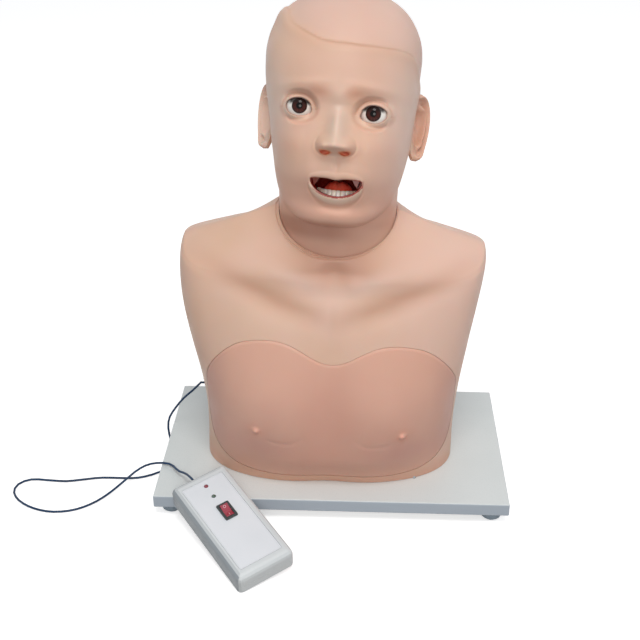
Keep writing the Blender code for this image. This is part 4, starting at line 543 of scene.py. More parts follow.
def rings(rows: Array, positions: Array, angles: Array) -> Array:
    """Points of a lofted surface, one ring for each position: an array of rings by angles by xyz.

    Args:
        rows: loft rows in metres: front y and z, side x, y and z, back y and z, two squarenesses.
        positions: where along the rows each ring lies.
        angles: each point's angle from the front.

    Returns:
        The points, rings by angles by xyz.
    """
    row = catmull_rom(rows, positions)[:, :, None]
    front_y, front_z, side_x, side_y, side_z, back_y, back_z, *squares = row.transpose(1, 0, 2)
    ahead, across = np.cos(angles)[None], np.sin(angles)[None]
    in_front = ahead >= 0
    power = 2 / np.where(in_front, *squares)
    reach = np.abs(ahead) ** power
    x = side_x * np.sign(across) * np.abs(across) ** power
    y = side_y + (np.where(in_front, front_y, back_y) - side_y) * reach
    z = side_z + (np.where(in_front, front_z, back_z) - side_z) * reach
    return np.stack([x, y, z], axis=2)


def inset(rows: Table, front: float, side: float, back: float, drop_from: int = 0,
          drop: float = 0.0) -> Array:
    """Loft rows in mm moved inwards, in metres, and lowered by drop from the row drop_from on.

    Args:
        rows: the loft rows in mm.
        front: how far the front moves back.
        side: how far the sides move in.
        back: how far the back moves forward.
        drop_from: the first row that is lowered.
        drop: how far it and the next are lowered.

    Returns:
        The rows in metres.
    """
    moved = np.array(rows, float) * ([MM] * 7 + [1, 1])
    moved[:, 0] += front
    moved[:, 2] -= side
    moved[:, 5] -= back
    moved[drop_from:, [1, 4, 6]] -= drop
    return moved


def bell(value: object, width: object, power: float = 2) -> Array:
    """A smooth bell over the values: 1 at 0, and 1/e at the width."""
    return np.exp(-((value / width) ** power))


def bump(x: Array, z: Array, middle_x: float, middle_z: object, half_x: float, half_z: float) -> Array:
    """A smooth hill, 1 at its middle."""
    return np.exp(-(((x - middle_x) / half_x) ** 2) - ((z - middle_z) / half_z) ** 2)


def hills(x: Array, z: Array, table: Table) -> Array:
    """The sum of a table's hills and hollows: rise, across, height, half-width, half-height, slope outwards.

    Args:
        x: the points' x.
        z: their heights.
        table: the hills, one row each.

    Returns:
        The rise at each point.
    """
    side = np.abs(x)
    total = np.zeros_like(side)
    for rise, across, height, half_width, half_height, slope in table:
        middle = height + slope * (side - across)
        total = total + rise * bump(side, z, across, middle, half_width, half_height)
    return total


def step(value: Array, low: float, high: float) -> Array:
    """0 below low, 1 above high, smooth between."""
    t = np.clip((value - low) / (high - low), 0, 1)
    return t * t * (3 - 2 * t)


def gap_to(outline: Array, x: Array, z: Array, reach: float = 0.016) -> Array:
    """How far each point lies outside a closed outline, below 0 inside it, and at most reach.

    Args:
        outline: the outline's points, x and z.
        x: the points' x.
        z: the points' z.
        reach: the largest gap that is told.

    Returns:
        The gaps.
    """
    flat = np.stack([np.ravel(x), np.ravel(z)], axis=1)
    out = np.full(len(flat), reach)
    low, high = outline.min(axis=0) - reach, outline.max(axis=0) + reach
    near = np.nonzero(((flat > low) & (flat < high)).all(axis=1))[0]
    run = np.roll(outline, -1, axis=0) - outline
    for some in np.array_split(near, max(1, len(near) // 4000)):
        away = flat[some][:, None] - outline[None]
        share = np.clip((away * run).sum(axis=2) / (run**2).sum(axis=1), 0, 1)
        gap = np.linalg.norm(away - share[..., None] * run, axis=2).min(axis=1)
        spans = (away[..., 1] < 0) != (away[..., 1] < run[:, 1])
        rise = np.where(np.abs(run[:, 1]) < 1e-12, 1e-12, run[:, 1])
        crossed = spans & (away[..., 0] < away[..., 1] / rise * run[:, 0])
        out[some] = np.where(crossed.sum(axis=1) % 2 == 1, -gap, gap)
    return np.minimum(out, reach).reshape(np.shape(x))


def new_object(name: str, mesh: Mesh) -> Object:
    """An object of the scene with this mesh, at the origin.

    Args:
        name: the object's name.
        mesh: its mesh.

    Returns:
        The object.
    """
    obj = bpy.data.objects.new(name, mesh)
    bpy.context.scene.collection.objects.link(obj)
    return obj


def settled(obj: Object) -> None:
    """Replaces the object's mesh by the one that its modifiers give, and removes them.

    Args:
        obj: the object.
    """
    graph = bpy.context.evaluated_depsgraph_get()
    mesh = bpy.data.meshes.new_from_object(obj.evaluated_get(graph))
    obj.modifiers.clear()
    old, obj.data = obj.data, mesh
    mesh.name = obj.name
    bpy.data.meshes.remove(old)


def carve(name: str, mesh: Mesh, tools: Iterable[tuple[Cut, Mesh]]) -> Object:
    """An object carved by Booleans, one after the other; their tools are removed.

    Args:
        name: the object's name.
        mesh: its mesh, in the scene's frame.
        tools: each tool's work and mesh, in the scene's frame.

    Returns:
        The carved object, without modifiers.
    """
    obj = new_object(name, mesh)
    helpers = []
    for work, tool in tools:
        helper = new_object(tool.name + "_tool", tool)
        modifier = obj.modifiers.new(helper.name, "BOOLEAN")
        modifier.operation = work.value
        modifier.solver = "MANIFOLD"
        modifier.object = helper
        helpers.append(helper)
    settled(obj)
    for helper in helpers:
        bpy.data.objects.remove(helper, do_unlink=True)
    return obj


def moved(mesh: Mesh, place: Matrix) -> Mesh:
    """The mesh at its place in the scene.

    Args:
        mesh: the mesh, which is changed.
        place: its place's matrix.

    Returns:
        The same mesh.
    """
    mesh.transform(place)
    if place.determinant() < 0:
        mesh.flip_normals()
    return mesh


def spin(degrees: float, axis: str) -> Matrix:
    """A turn about an axis through the origin."""
    return Matrix.Rotation(math.radians(degrees), 4, axis)


def points_of(obj: Object, place: Matrix, what: str = "co") -> Array:
    """The object's points, or the directions that they face, in the frame of a place.

    Args:
        obj: the object, at the origin.
        place: the frame's matrix in the scene.
        what: "co" for the points or "normal" for their directions.

    Returns:
        One row for each point.
    """
    flat = np.empty(len(obj.data.vertices) * 3, np.float32)
    obj.data.vertices.foreach_get(what, flat)
    undo = np.array(place.inverted())
    turned = flat.reshape(-1, 3) @ undo[:3, :3].T
    return turned + undo[:3, 3] if what == "co" else turned


@dataclass(frozen=True)
class Spot:
    """A soft round spot of tint: its colour, and where it lies, across and up, in metres."""

    colour: str
    strength: float
    across: float
    height: float
    half_width: float
    half_height: float
    mirror: float | None = 0.0     # the x that the spot is mirrored about, or None for a single spot
    slope: float = 0.0

    def over(self, x: Array, z: Array) -> Array:
        """How strongly the spot covers each point.

        Args:
            x: the points' x.
            z: their heights.

        Returns:
            The strength at each point.
        """
        side = x if self.mirror is None else np.abs(x - self.mirror)
        height = self.height + self.slope * (side - self.across)
        return self.strength * bump(side, z, self.across, height, self.half_width, self.half_height)


@dataclass
class Paint:
    """Thin sprayed tints, painted shade and highlights among them, laid one over the other on an object's
    points.
    """

    count: int
    colour: Array = field(init=False)
    share: Array = field(init=False)

    def __post_init__(self) -> None:
        """Starts bare."""
        self.colour = np.zeros((self.count, 3))
        self.share = np.zeros(self.count)

    def spray(self, text: str, strength: Array) -> None:
        """Lays a colour over what is there, as strongly as strength, 0 to 1, says for each point.

        Args:
            text: the colour as #RRGGBB.
            strength: 0 to 1 for each point.
        """
        strength = np.clip(strength, 0, 1)
        over = strength[:, None]
        self.colour = self.colour * (1 - over) + np.array(hex_colour(text)[:3]) * over
        self.share = 1 - (1 - self.share) * (1 - strength)

    def spots(self, spots: Iterable[Spot], x: Array, z: Array, share: object) -> None:
        """Sprays spots one after the other."""
        for spot in spots:
            self.spray(spot.colour, spot.over(x, z) * share)

    def lay_on(self, mesh: Mesh) -> None:
        """Writes the tints to the mesh's attributes.

        Args:
            mesh: the mesh whose points were painted.
        """
        colour = self.colour / np.maximum(self.share, 1e-4)[:, None]
        filled = np.column_stack([colour, np.ones(self.count)]).astype(np.float32)
        paint = mesh.color_attributes.new("paint", "FLOAT_COLOR", "POINT").data
        paint.foreach_set("color", filled.ravel())
        share = mesh.attributes.new("paint_share", "FLOAT", "POINT").data
        share.foreach_set("value", self.share.astype(np.float32))


def finished(obj: Object, body: Body, finish: Finish | None, *nodes: str, sharp: float = 40.0) -> Object:
    """Gives a piece its finish, lets it ride and hides the solids that it replaces.

    Args:
        obj: the piece.
        body: what it rides on.
        finish: its finish, or None where it has its materials already.
        nodes: the solids that it replaces.
        sharp: the angle in degrees from which an edge stays sharp.

    Returns:
        The piece.
    """
    obj.data.shade_smooth()
    obj.data.set_sharp_from_angle(angle=math.radians(sharp))
    if finish is not None:
        obj.data.materials.clear()
        obj.data.materials.append(finish.material())
    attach(obj, body.value)
    if nodes:
        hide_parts(*nodes)
    LOG.info("%s: %d faces, rides on %s", obj.name, len(obj.data.polygons), body.value)
    return obj


def dress(finish: Finish, *nodes: str) -> None:
    """Gives the finish to solids whose shape is right as it is.

    Args:
        finish: the finish.
        nodes: the solids' names.
    """
    made = finish.material()
    for name in nodes:
        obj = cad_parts[name]
        for slot in obj.material_slots:
            slot.material = made
        LOG.info("%s: %s", name, finish.name)


# Geometry Nodes


def repeat_tree() -> Tree:
    """A tree that sets one piece at each point of a mesh, turned and sized by the point's attributes.

    Returns:
        The tree.
    """
    tree = bpy.data.node_groups.new("repeated_pieces", "GeometryNodeTree")
    kinds = (
        ("Places", "NodeSocketGeometry"),
        ("Piece", "NodeSocketObject"),
        ("Size jitter", "NodeSocketFloat"),
        ("Seed", "NodeSocketInt"),
        ("Finish", "NodeSocketMaterial"),
    )
    for name, kind in kinds:
        tree.interface.new_socket(name=name, in_out="INPUT", socket_type=kind)
    tree.interface.new_socket(name="Pieces", in_out="OUTPUT", socket_type="NodeSocketGeometry")
    given = add_node(tree, "NodeGroupInput").outputs
    read = "GeometryNodeInputNamedAttribute"
    turn = add_node(tree, read, {"Name": "turn"}, data_type="FLOAT_VECTOR").outputs[0]
    size = add_node(tree, read, {"Name": "size"}, data_type="FLOAT_VECTOR").outputs[0]
    least = add_node(tree, "ShaderNodeMath", {0: 1.0, 1: given["Size jitter"]},
                     operation="SUBTRACT").outputs[0]
    most = add_node(tree, "ShaderNodeMath", {0: 1.0, 1: given["Size jitter"]}, operation="ADD").outputs[0]
    chance = add_node(tree, "FunctionNodeRandomValue", {2: least, 3: most, "Seed": given["Seed"]},
                      data_type="FLOAT").outputs[1]
    scale = add_node(tree, "ShaderNodeVectorMath", {0: size, "Scale": chance}, operation="SCALE").outputs[0]
    turned = add_node(tree, "FunctionNodeEulerToRotation", {0: turn}).outputs[0]
    piece = add_node(tree, "GeometryNodeObjectInfo", {"Object": given["Piece"]}).outputs["Geometry"]
    inputs: Inputs = {"Points": given["Places"], "Instance": piece, "Rotation": turned, "Scale": scale}
    stood = add_node(tree, "GeometryNodeInstanceOnPoints", inputs).outputs[0]
    real = add_node(tree, "GeometryNodeRealizeInstances", {0: stood}).outputs[0]
    painted = add_node(tree, "GeometryNodeSetMaterial",
                       {"Geometry": real, "Material": given["Finish"]}).outputs[0]
    add_node(tree, "NodeGroupOutput", {"Pieces": painted})
    return tree


@dataclass
class Repeater:
    """Sets copies of a piece at listed places, with one Geometry Nodes tree for all."""

    tree: Tree

    def build(self, name: str, piece: Mesh, places: Sequence[tuple[Vector, Vector, Vector]], finish: Finish,
              jitter: float = 0.0, seed: int = 7) -> Object:
        """Makes the copies as one plain mesh.

        Args:
            name: the new object's name.
            piece: what is copied.
            places: for each copy its point, its turn as an Euler and its size.
            finish: the finish of them all.
            jitter: how much the sizes differ by chance, as a share.
            seed: the chance's seed.

        Returns:
            The object, without modifiers.
        """
        mesh = bpy.data.meshes.new(name)
        mesh.from_pydata([tuple(place[0]) for place in places], [], [])
        for key, column in (("turn", 1), ("size", 2)):
            values = np.array([tuple(place[column]) for place in places], np.float32).ravel()
            mesh.attributes.new(key, "FLOAT_VECTOR", "POINT").data.foreach_set("vector", values)
        obj = new_object(name, mesh)
        copied = new_object(piece.name + "_piece", piece)
        modifier = obj.modifiers.new("repeat", "NODES")
        modifier.node_group = self.tree
        values = {"Piece": copied, "Size jitter": jitter, "Seed": seed, "Finish": finish.material()}
        for socket in self.tree.interface.items_tree:
            if socket.in_out == "INPUT" and socket.name in values:
                modifier[socket.identifier] = values[socket.name]
        settled(obj)
        bpy.data.objects.remove(copied, do_unlink=True)
        return obj


# Places


@dataclass(frozen=True)
class Places:
    """The frames that the pieces are drawn in, as matrices in the scene."""

    ground: Matrix
    bust: Matrix
    head: Matrix
    face: Matrix
    box: Matrix
    rocker: Matrix

    @staticmethod
    def neck(turn: float = 0.0) -> Matrix:
        """The neck's axis in the bust's frame: the origin in the collar's plane, Z up the neck."""
        tilt = Matrix.Rotation(NECK_TILT, 4, "X")
        return Matrix.Translation((0, *COLLAR)) @ tilt @ Matrix.Rotation(turn, 4, "Z")

    @staticmethod
    def box_in_ground() -> Matrix:
        """The control box's place: a near corner on the floor, its underside on the board's front edge.

        Returns:
            The place of the middle of its underside, from the board's middle on the floor.
        """
        tilt = math.atan2(BOARD_TOP + BOX_SETTLE, BOARD_FRONT - BOX_CORNER[1])
        corner = Matrix.Translation((*BOX_CORNER, -BOX_SETTLE))
        turn = Matrix.Rotation(tilt, 4, "X") @ Matrix.Rotation(BOX_TURN, 4, "Z")
        return corner @ turn @ Matrix.Translation((BOX_SIZE[0] / 2, BOX_SIZE[1] / 2, 0))

    @classmethod
    def from_board(cls) -> "Places":
        """Works the frames out from where the board stands.

        Returns:
            The frames.
        """
        low, high = (Vector(corner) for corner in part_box("base_board"))
        ground = Matrix.Translation(((low.x + high.x) / 2, (low.y + high.y) / 2, low.z - FOOT_REACH))
        bust = ground @ Matrix.Translation(BUST_PLACE) @ Matrix.Rotation(BUST_LEAN, 4, "Y")
        head = bust @ cls.neck(HEAD_TURN) @ cls.neck().inverted()
        face = head @ Matrix.Translation(FACE_PLACE) @ Matrix.Rotation(FACE_TILT, 4, "X")
        box = ground @ cls.box_in_ground()
        rocker = box @ Matrix.Translation(ROCKER_PIVOT) @ Matrix.Rotation(ROCKER_TILT, 4, "X")
        return cls(ground, bust, head, face, box, rocker)


# Camera, light and floor


@dataclass(frozen=True)
class Standpoint:
    """Where the photograph was taken from, measured from the middle of the board on the floor."""

    place: tuple[float, float, float] = (0.0295, -1.1124, 0.7829)
    azimuth: float = math.radians(2.37)
    elevation: float = math.radians(27.90)
    lens: float = 61.9
    sensor: float = 36.0


@dataclass(frozen=True)
class Lamp:
    """A round soft lamp: where it stands, how wide it is and its power."""

    name: str
    place: tuple[float, float, float]
    width: float
    power: float
    colour: str


@dataclass
class Studio:
    """The camera, soft lamps and a pale floor."""

    standpoint: Standpoint = Standpoint()
    lamps: tuple[Lamp, ...] = (
        Lamp("top_lamp", (0.10, -1.15, 2.35), 1.0, 23.5, "#FFFDFA"),
        Lamp("front_lamp", (0.05, -2.0, 1.2), 0.7, 11.5, "#FFFAF5"),
        Lamp("side_lamp", (1.7, -0.5, 1.2), 1.2, 3.2, "#FFF0F0"),
    )

    def build(self, ground: Matrix) -> None:
        """Makes the camera, the lamps, the floor and the world.

        Args:
            ground: the place of the board's middle on the floor.
        """
        scene = bpy.context.scene
        scene.view_settings.view_transform = "Standard"
        view = self.standpoint
        data = bpy.data.cameras.new("camera")
        data.lens, data.sensor_width = view.lens, view.sensor
        data.clip_start, data.clip_end = 0.05, 30
        camera = bpy.data.objects.new("camera", data)
        scene.collection.objects.link(camera)
        camera.location = ground @ Vector(view.place)
        camera.rotation_euler = (math.pi / 2 - view.elevation, 0, view.azimuth)
        scene.camera = camera
        self.light(ground)
        self.floor()
        self.world()

    def light(self, ground: Matrix) -> None:
        """Hangs the lamps, all aimed at the chest.

        Args:
            ground: the place of the board's middle on the floor.
        """
        aim = ground @ Vector((0, 0, 0.30))
        for lamp in self.lamps:
            data = bpy.data.lights.new(lamp.name, "AREA")
            data.shape, data.size, data.energy = "DISK", lamp.width, lamp.power
            data.color = hex_colour(lamp.colour)[:3]
            obj = bpy.data.objects.new(lamp.name, data)
            bpy.context.scene.collection.objects.link(obj)
            obj.location = ground @ Vector(lamp.place)
            obj.rotation_euler = (aim - obj.location).to_track_quat("-Z", "Y").to_euler()

    @staticmethod
    def seen(tree: Tree) -> Socket:
        """1 for what the camera sees, also in a mirror or through glass.

        Args:
            tree: the tree of the floor or the world.

        Returns:
            The share, 0 or 1.
        """
        path = add_node(tree, "ShaderNodeLightPath").outputs
        either = add_node(tree, "ShaderNodeMath", {0: path["Is Camera Ray"], 1: path["Is Glossy Ray"]},
                          operation="MAXIMUM")
        inputs: Inputs = {0: either.outputs[0], 1: path["Is Transmission Ray"]}
        return add_node(tree, "ShaderNodeMath", inputs, operation="MAXIMUM").outputs[0]

    def floor(self) -> None:
        """A floor that is white where no shadow falls."""
        mesh = bpy.data.meshes.new("floor")
        half = 9.0
        mesh.from_pydata([(-half, -half, 0), (half, -half, 0), (half, half, 0), (-half, half, 0)], [],
                         [(0, 1, 2, 3)])
        floor = new_object("floor", mesh)
        white = bpy.data.materials.new("pale matt floor, on which only the soft shadow shows")
        white.use_nodes = True
        tree = white.node_tree
        tree.nodes.clear()
        paint = add_node(tree, "ShaderNodeBsdfDiffuse", {"Color": hex_colour("#FFFFFF")})
        glow = add_node(tree, "ShaderNodeEmission", {"Color": hex_colour("#FFFFFF"), "Strength": 0.52})
        both = add_node(tree, "ShaderNodeAddShader", {0: paint.outputs[0], 1: glow.outputs[0]})
        plain = add_node(tree, "ShaderNodeBsdfDiffuse", {"Color": hex_colour("#8C8A8A")})
        shader = add_node(tree, "ShaderNodeMixShader",
                          {0: self.seen(tree), 1: plain.outputs[0], 2: both.outputs[0]})
        add_node(tree, "ShaderNodeOutputMaterial", {"Surface": shader.outputs[0]})
        mesh.materials.append(white)

    def world(self) -> None:
        """A plain world, white to the camera and a soft fill to the object."""
        world = bpy.data.worlds.new("studio")
        bpy.context.scene.world = world
        world.use_nodes = True
        tree = world.node_tree
        tree.nodes.clear()
        fill = add_node(tree, "ShaderNodeBackground", {"Color": hex_colour("#FAFCFF"), "Strength": 0.42})
        white = add_node(tree, "ShaderNodeBackground", {"Color": hex_colour("#FFFFFF"), "Strength": 1.0})
        shader = add_node(tree, "ShaderNodeMixShader",
                          {0: self.seen(tree), 1: fill.outputs[0], 2: white.outputs[0]})
        add_node(tree, "ShaderNodeOutputWorld", {"Surface": shader.outputs[0]})


# Lead


@dataclass
class Lead:
    """The lead from the torso's gland to the box's bush; its route is in mm from the middle of the board."""

    places: Places
    radius: float = 0.0013
    spacing: float = 0.0085
    lead_out: float = 0.005
    gland_place: tuple[float, float, float] = (-0.1454, 0.020, 0.0622)
    gland_proud: float = 0.0078
    bush_place: tuple[float, float, float] = (-0.0035, 0.074, 0.0135)
    bush_proud: float = 0.0020
    route: Table = (
        (-170.5, 20.5, 84.0), (-184.0, 21.5, 70.5), (-196.0, 23.0, 54.0), (-203.6, 24.0, 40.5),
        (-206.0, 24.0, 28.0), (-205.2, 22.5, 17.0), (-202.0, 17.5, 7.5), (-196.5, 9.0, 2.6),
        (-192.5, -3.0, 1.7), (-193.5, -18.0, 1.7), (-199.5, -29.5, 1.7), (-209.0, -37.0, 1.7),
        (-220.0, -44.5, 1.7), (-234.0, -49.8, 1.7), (-250.0, -50.6, 1.7), (-276.0, -51.0, 1.7),
        (-297.0, -55.6, 1.7), (-316.0, -59.6, 1.7), (-337.0, -58.6, 1.7), (-357.0, -57.6, 1.7),
        (-370.0, -66.0, 1.7), (-372.6, -80.5, 1.7), (-364.5, -95.5, 1.7), (-349.5, -108.0, 1.7),
        (-331.0, -116.0, 1.7), (-312.5, -118.0, 1.7), (-292.5, -113.0, 1.7), (-274.5, -100.5, 2.0),
        (-260.0, -84.0, 3.4), (-244.5, -62.0, 7.0), (-233.0, -52.5, 13.5), (-219.0, -53.5, 23.5),
        (-203.0, -59.0, 31.0), (-188.5, -63.0, 32.2), (-176.5, -80.0, 35.4), (-166.0, -91.5, 40.0),
    )
    # Extruded: an even dark blue with one soft line of light along it
    finish: Finish = Finish(
        "PVC cord jacket, extruded, so smooth with a soft gloss", "#0B2947", "#11375A",
        drift=25, roughness=0.42, roughness_spread=0.05, grain=2.0, relief=0.003,
        settings=(("Specular IOR Level", 0.3),))

    def gland(self) -> Matrix:
        """The gland's place in the scene, Z out of the torso."""
        return self.places.bust @ Matrix.Translation(self.gland_place) @ spin(-90, "Y")

    def points(self) -> Array:
        """The points that the lead follows, in the scene.

        Returns:
            The points, one row each.
        """
        undo = self.places.ground.inverted()
        bush = self.places.box @ Matrix.Translation(self.bush_place) @ spin(-90, "X")
        ends = []
        for place, proud in ((self.gland(), self.gland_proud), (bush, self.bush_proud)):
            stops = [Vector((0, 0, proud + out)) for out in (GAP, self.lead_out)]
            ends.append([np.array(undo @ place @ stop) for stop in stops])
        knots = np.vstack([ends[0], np.array(self.route) * MM, ends[1][::-1]])
        fine = catmull_rom(knots, np.linspace(1, len(knots) - 2, 40 * len(knots)))
        run = np.concatenate([[0], np.cumsum(np.linalg.norm(np.diff(fine, axis=0), axis=1))])
        stops = np.linspace(0, run[-1], round(run[-1] / self.spacing) + 1)
        bends = np.stack([np.interp(stops, run, fine[:, axis]) for axis in range(3)], axis=1)
        return np.vstack([knots[:1], bends, knots[-1:]]) + np.array(self.places.ground.translation)

    def build(self) -> None:
        points = self.points()
        curve = bpy.data.curves.new("control_lead", "CURVE")
        curve.dimensions = "3D"
        curve.bevel_depth, curve.bevel_resolution = self.radius, 5
        curve.use_fill_caps = True
        spline = curve.splines.new("POLY")
        spline.points.add(len(points) - 1)
        for stop, point in zip(spline.points, points):
            stop.co = (*point, 1)
        curve.materials.append(self.finish.material())
        lead = bpy.data.objects.new("control_lead", curve)
        bpy.context.scene.collection.objects.link(lead)
        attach(lead, Body.BASE.value)
        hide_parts("signal_cable")


# Torso and cover


@dataclass
class Torso:
    """The vinyl torso with its collar.

    A row is a ring in mm: front y and z, side x, y and z, back y and z, and two squarenesses.
    """

    places: Places
    rows: Table = (
        (-87, 0, 145.0, -4, 0, 94, 0, 2.5, 2.6),
        (-94, 14, 144.8, -3, 14, 95.5, 14, 2.5, 2.6),
        (-104, 40, 144.2, -2, 40, 96.5, 40, 2.5, 2.6),
        (-107.5, 72, 145.2, -1, 72, 97, 72, 2.5, 2.6),
        (-106, 110, 149.5, 1, 110, 97, 109, 2.6, 2.7),
        (-98, 150, 157, 3, 150, 97.5, 146, 2.7, 2.8),
        (-87, 190, 164, 5, 192, 97.5, 180, 2.9, 3.0),
        (-77, 216, 167.5, 6, 225, 97, 206, 3.1, 3.1),
        (-70, 230, 168.5, 6, 251, 96, 230, 3.2, 3.2),
        (-66.5, 237.5, 167, 6, 264, 95, 243, 3.2, 3.2),
        (-64.5, 243, 160, 5, 269.5, 94, 249, 3.0, 3.0),
        (-62.5, 251, 125, 3, 281.5, 92, 260, 2.6, 2.6),
        (-62, 258.5, 98, 1, 292, 88, 269, 2.2, 2.2),
    )
    edge_row: int = 9
    relief: Table = (
        (0.0055, 0.070, 0.098, 0.046, 0.046, 0.0),
        (-0.0030, 0.0, 0.120, 0.020, 0.075, 0.0),
        (-0.0045, 0.0, 0.0, 0.034, 0.030, 0.0),
        (0.0028, 0.062, 0.251, 0.052, 0.0105, 0.26),
        (-0.0035, 0.0, 0.257, 0.014, 0.011, 0.0),
    )
    fine_relief: Table = (
        (0.0022, 0.018, 0.243, 0.011, 0.0085, 0.0),
        (-0.0036, 0.074, 0.227, 0.060, 0.0125, 0.36),
        (0.0022, 0.0, 0.205, 0.012, 0.028, 0.0),
        (-0.0022, 0.125, 0.205, 0.022, 0.050, 0.0),
    )
    wall: float = 0.005
    lip: float = 0.016
    neck_radius: float = 0.0641
    rim: float = 0.0024     # the collar's breadth round the neck hole
    front_lean: float = math.radians(31)     # how much the collar drops in front
    gland_bore: float = 0.0033
    tints: tuple[Spot, ...] = (
        Spot("#DFBFA6", 0.45, -0.09, 0.20, 0.05, 0.06, None),     # left shoulder
        Spot("#EACFC3", 0.60, 0.034, 0.242, 0.030, 0.010, slope=0.30),     # painted highlight on the collar bones
        Spot("#E3C3B4", 0.55, -0.010, 0.206, 0.010, 0.020, None),     # painted highlight on the breast bone
        Spot("#B07A63", 0.70, 0.0, 0.260, 0.058, 0.021),     # painted shadow of the chin in the throat pit
        Spot("#B98A71", 0.70, 0.074, 0.228, 0.068, 0.012, slope=0.36),     # shade under the collar bones
    )
    # Rotation moulded: a waxy skin colour with a dull sheen and a faint mottle
    finish: Finish = PaintedVinyl(
        "soft PVC vinyl of the torso, rotation moulded, so a dull waxy sheen", "#DBB69D", "#DEBAA8",
        drift=70, roughness=0.50, roughness_spread=0.06, grain=1.6, relief=0.02, settings=SKIN_SHEEN)

    def collar(self, radius: float, rise: float) -> tuple[float, ...]:
        """The loft row of a ring round the neck hole, rise above the collar's plane.

        Args:
            radius: the ring's radius.
            rise: its height above the collar's plane.

        Returns:
            The row in metres.
        """
        c, s = math.cos(NECK_TILT), math.sin(NECK_TILT)
        ends = []
        for reach, lean in ((-radius, self.front_lean), (radius, 0.0)):
            up = reach * math.tan(lean - NECK_TILT) + rise
            ends.append((COLLAR[0] + reach * c - up * s, COLLAR[1] + reach * s + up * c))
        return (*ends[0], radius, COLLAR[0] - rise * s, COLLAR[1] + rise * c, *ends[1], 2.0, 2.0)

    def lofted(self, inward: float = 0.0, drop: float = 0.0) -> Array:
        """The torso's rows and its collar's, moved inwards if asked.

        Args:
            inward: how far they move inwards.
            drop: how far shoulders and collar are lowered.

        Returns:
            The rows in metres.
        """
        rows = inset(self.rows, inward, inward, inward, self.edge_row, drop)
        outer = self.neck_radius + self.rim
        collar = [self.collar(outer + 0.0035, -drop), self.collar(outer, -drop)]
        if drop == 0.0:
            collar.append(self.collar(outer - 0.0007, 0.0015))
        return np.vstack([rows, collar])

    @staticmethod
    def sway(z: Array) -> Array:
        """How far the torso stands to the left at a height above the board."""
        return 0.006 * bell(z - 0.195, 0.085)

    @staticmethod
    def stood(x: Array, z: Array) -> Array:
        """A height in the bust, changed so that its foot stands level on the board though the bust leans."""
        lift = (GAP + x * math.sin(BUST_LEAN)) / math.cos(BUST_LEAN)
        return z + lift * np.clip(1 - z / 0.060, 0, 1)

    def chest(self, x: Array, z: Array) -> Array:
        """The y of the chest's front at each x and height: a search along the loft.

        Args:
            x: the places' x.
            z: the places' heights.

        Returns:
            The y at each place.
        """
        rows = self.lofted()
        low, high = np.zeros_like(x), np.full_like(x, float(self.edge_row))
        for _ in range(26):
            middle = (low + high) / 2
            row = catmull_rom(rows, middle.ravel()).T.reshape(9, *x.shape)
            front_y, front_z, side_x, side_y, side_z, _, _, square, _ = row
            across = np.clip(np.abs(x + self.sway(z)) / side_x, 0, 1)
            reach = (1 - across**square) ** (1 / square)
            height = side_z + (front_z - side_z) * reach
            low, high = np.where(height < z, middle, low), np.where(height < z, high, middle)
        y = side_y + (front_y - side_y) * reach
        facing = step(reach ** (square / 2), 0.05, 0.5) * step(-y, 0.0, 0.03)
        return y - hills(x, z, self.relief) * facing

    def surface(self) -> Mesh:
        """The outer skin, with the chest's relief on its front.

        Returns:
            The mesh in the scene.
        """
        rows = self.lofted()
        last = len(rows) - 1
        angles = turn_angles(300, 0.12)
        points = rings(rows, np.linspace(0, last, 200), angles)
        facing = step(np.cos(angles), 0.05, 0.5)[None] * step(-points[..., 1], 0.0, 0.03)
        points[..., 0] -= self.sway(points[..., 2])
        relief = hills(points[..., 0], points[..., 2], self.relief + self.fine_relief)
        points[..., 1] -= relief * facing
        points[..., 2] = self.stood(points[..., 0], points[..., 2])
        return moved(loft("vinyl_torso", points), self.places.bust)

    def hollow(self, name: str, inward: float, floor: float, below: float = 0.0) -> Mesh:
        """The torso's hollow, from height floor up; with below, only its lowest band.

        Args:
            name: the mesh's name.
            inward: the wall round it.
            floor: the height that it starts at.
            below: the top of the lowest band, where only that is wanted.

        Returns:
            The mesh in the scene.
        """
        rows = self.lofted(inward, inward * 1.15)
        stops = np.linspace(0, 1, 2) if below else np.linspace(0, len(rows) - 1, 10)
        points = rings(rows, stops, turn_angles(96))
        points[0, :, 2] = floor
        if below:
            points[-1, :, 2] = below
        points[..., 0] -= self.sway(points[..., 2])
        points[..., 2] = self.stood(points[..., 0], points[..., 2])
        return moved(loft(name, points), self.places.bust)

    def build(self, cover: "ChestCover", lead: Lead) -> None:
        """Moulds the torso, cuts its openings and sprays its tints, painted highlights and painted shade.

        Args:
            cover: the chest cover, whose recess it keeps.
            lead: the lead, whose gland goes through its wall.
        """
        neck_hole = cylinder("neck_hole", self.neck_radius, -0.060, 0.050, 180)
        tools = (
            (Cut.TAKE, self.hollow("torso_hollow", self.wall, self.wall)),
            (Cut.TAKE, self.hollow("torso_foot_opening", self.lip, -OVERCUT, self.wall + OVERCUT)),
            (Cut.TAKE, moved(neck_hole, self.places.bust @ Places.neck())),
            (Cut.TAKE, cover.recess()),
            (Cut.TAKE, moved(cylinder("gland_hole", self.gland_bore, -0.02, 0.02, 40), lead.gland())),
        )
        torso = carve("vinyl_torso", self.surface(), tools)
        x, y, z = points_of(torso, self.places.bust).T
        paint = Paint(len(x))
        paint.spray("#E4C2B3", 0.75 * step(x, 0.03, 0.13) * step(z, 0.10, 0.20))
        paint.spots(self.tints, x, z, step(-y, 0.0, 0.03))
        paint.spray("#CE957A", 0.60 * step(-z, -0.034, -0.006) * step(-y, 0.0, 0.04))
        paint.spray("#C79F86", 0.40 * step(np.abs(x), 0.125, 0.150) * step(-z, -0.18, -0.10))
        paint.lay_on(torso.data)
        finished(torso, Body.BASE, self.finish, "torso_shell")


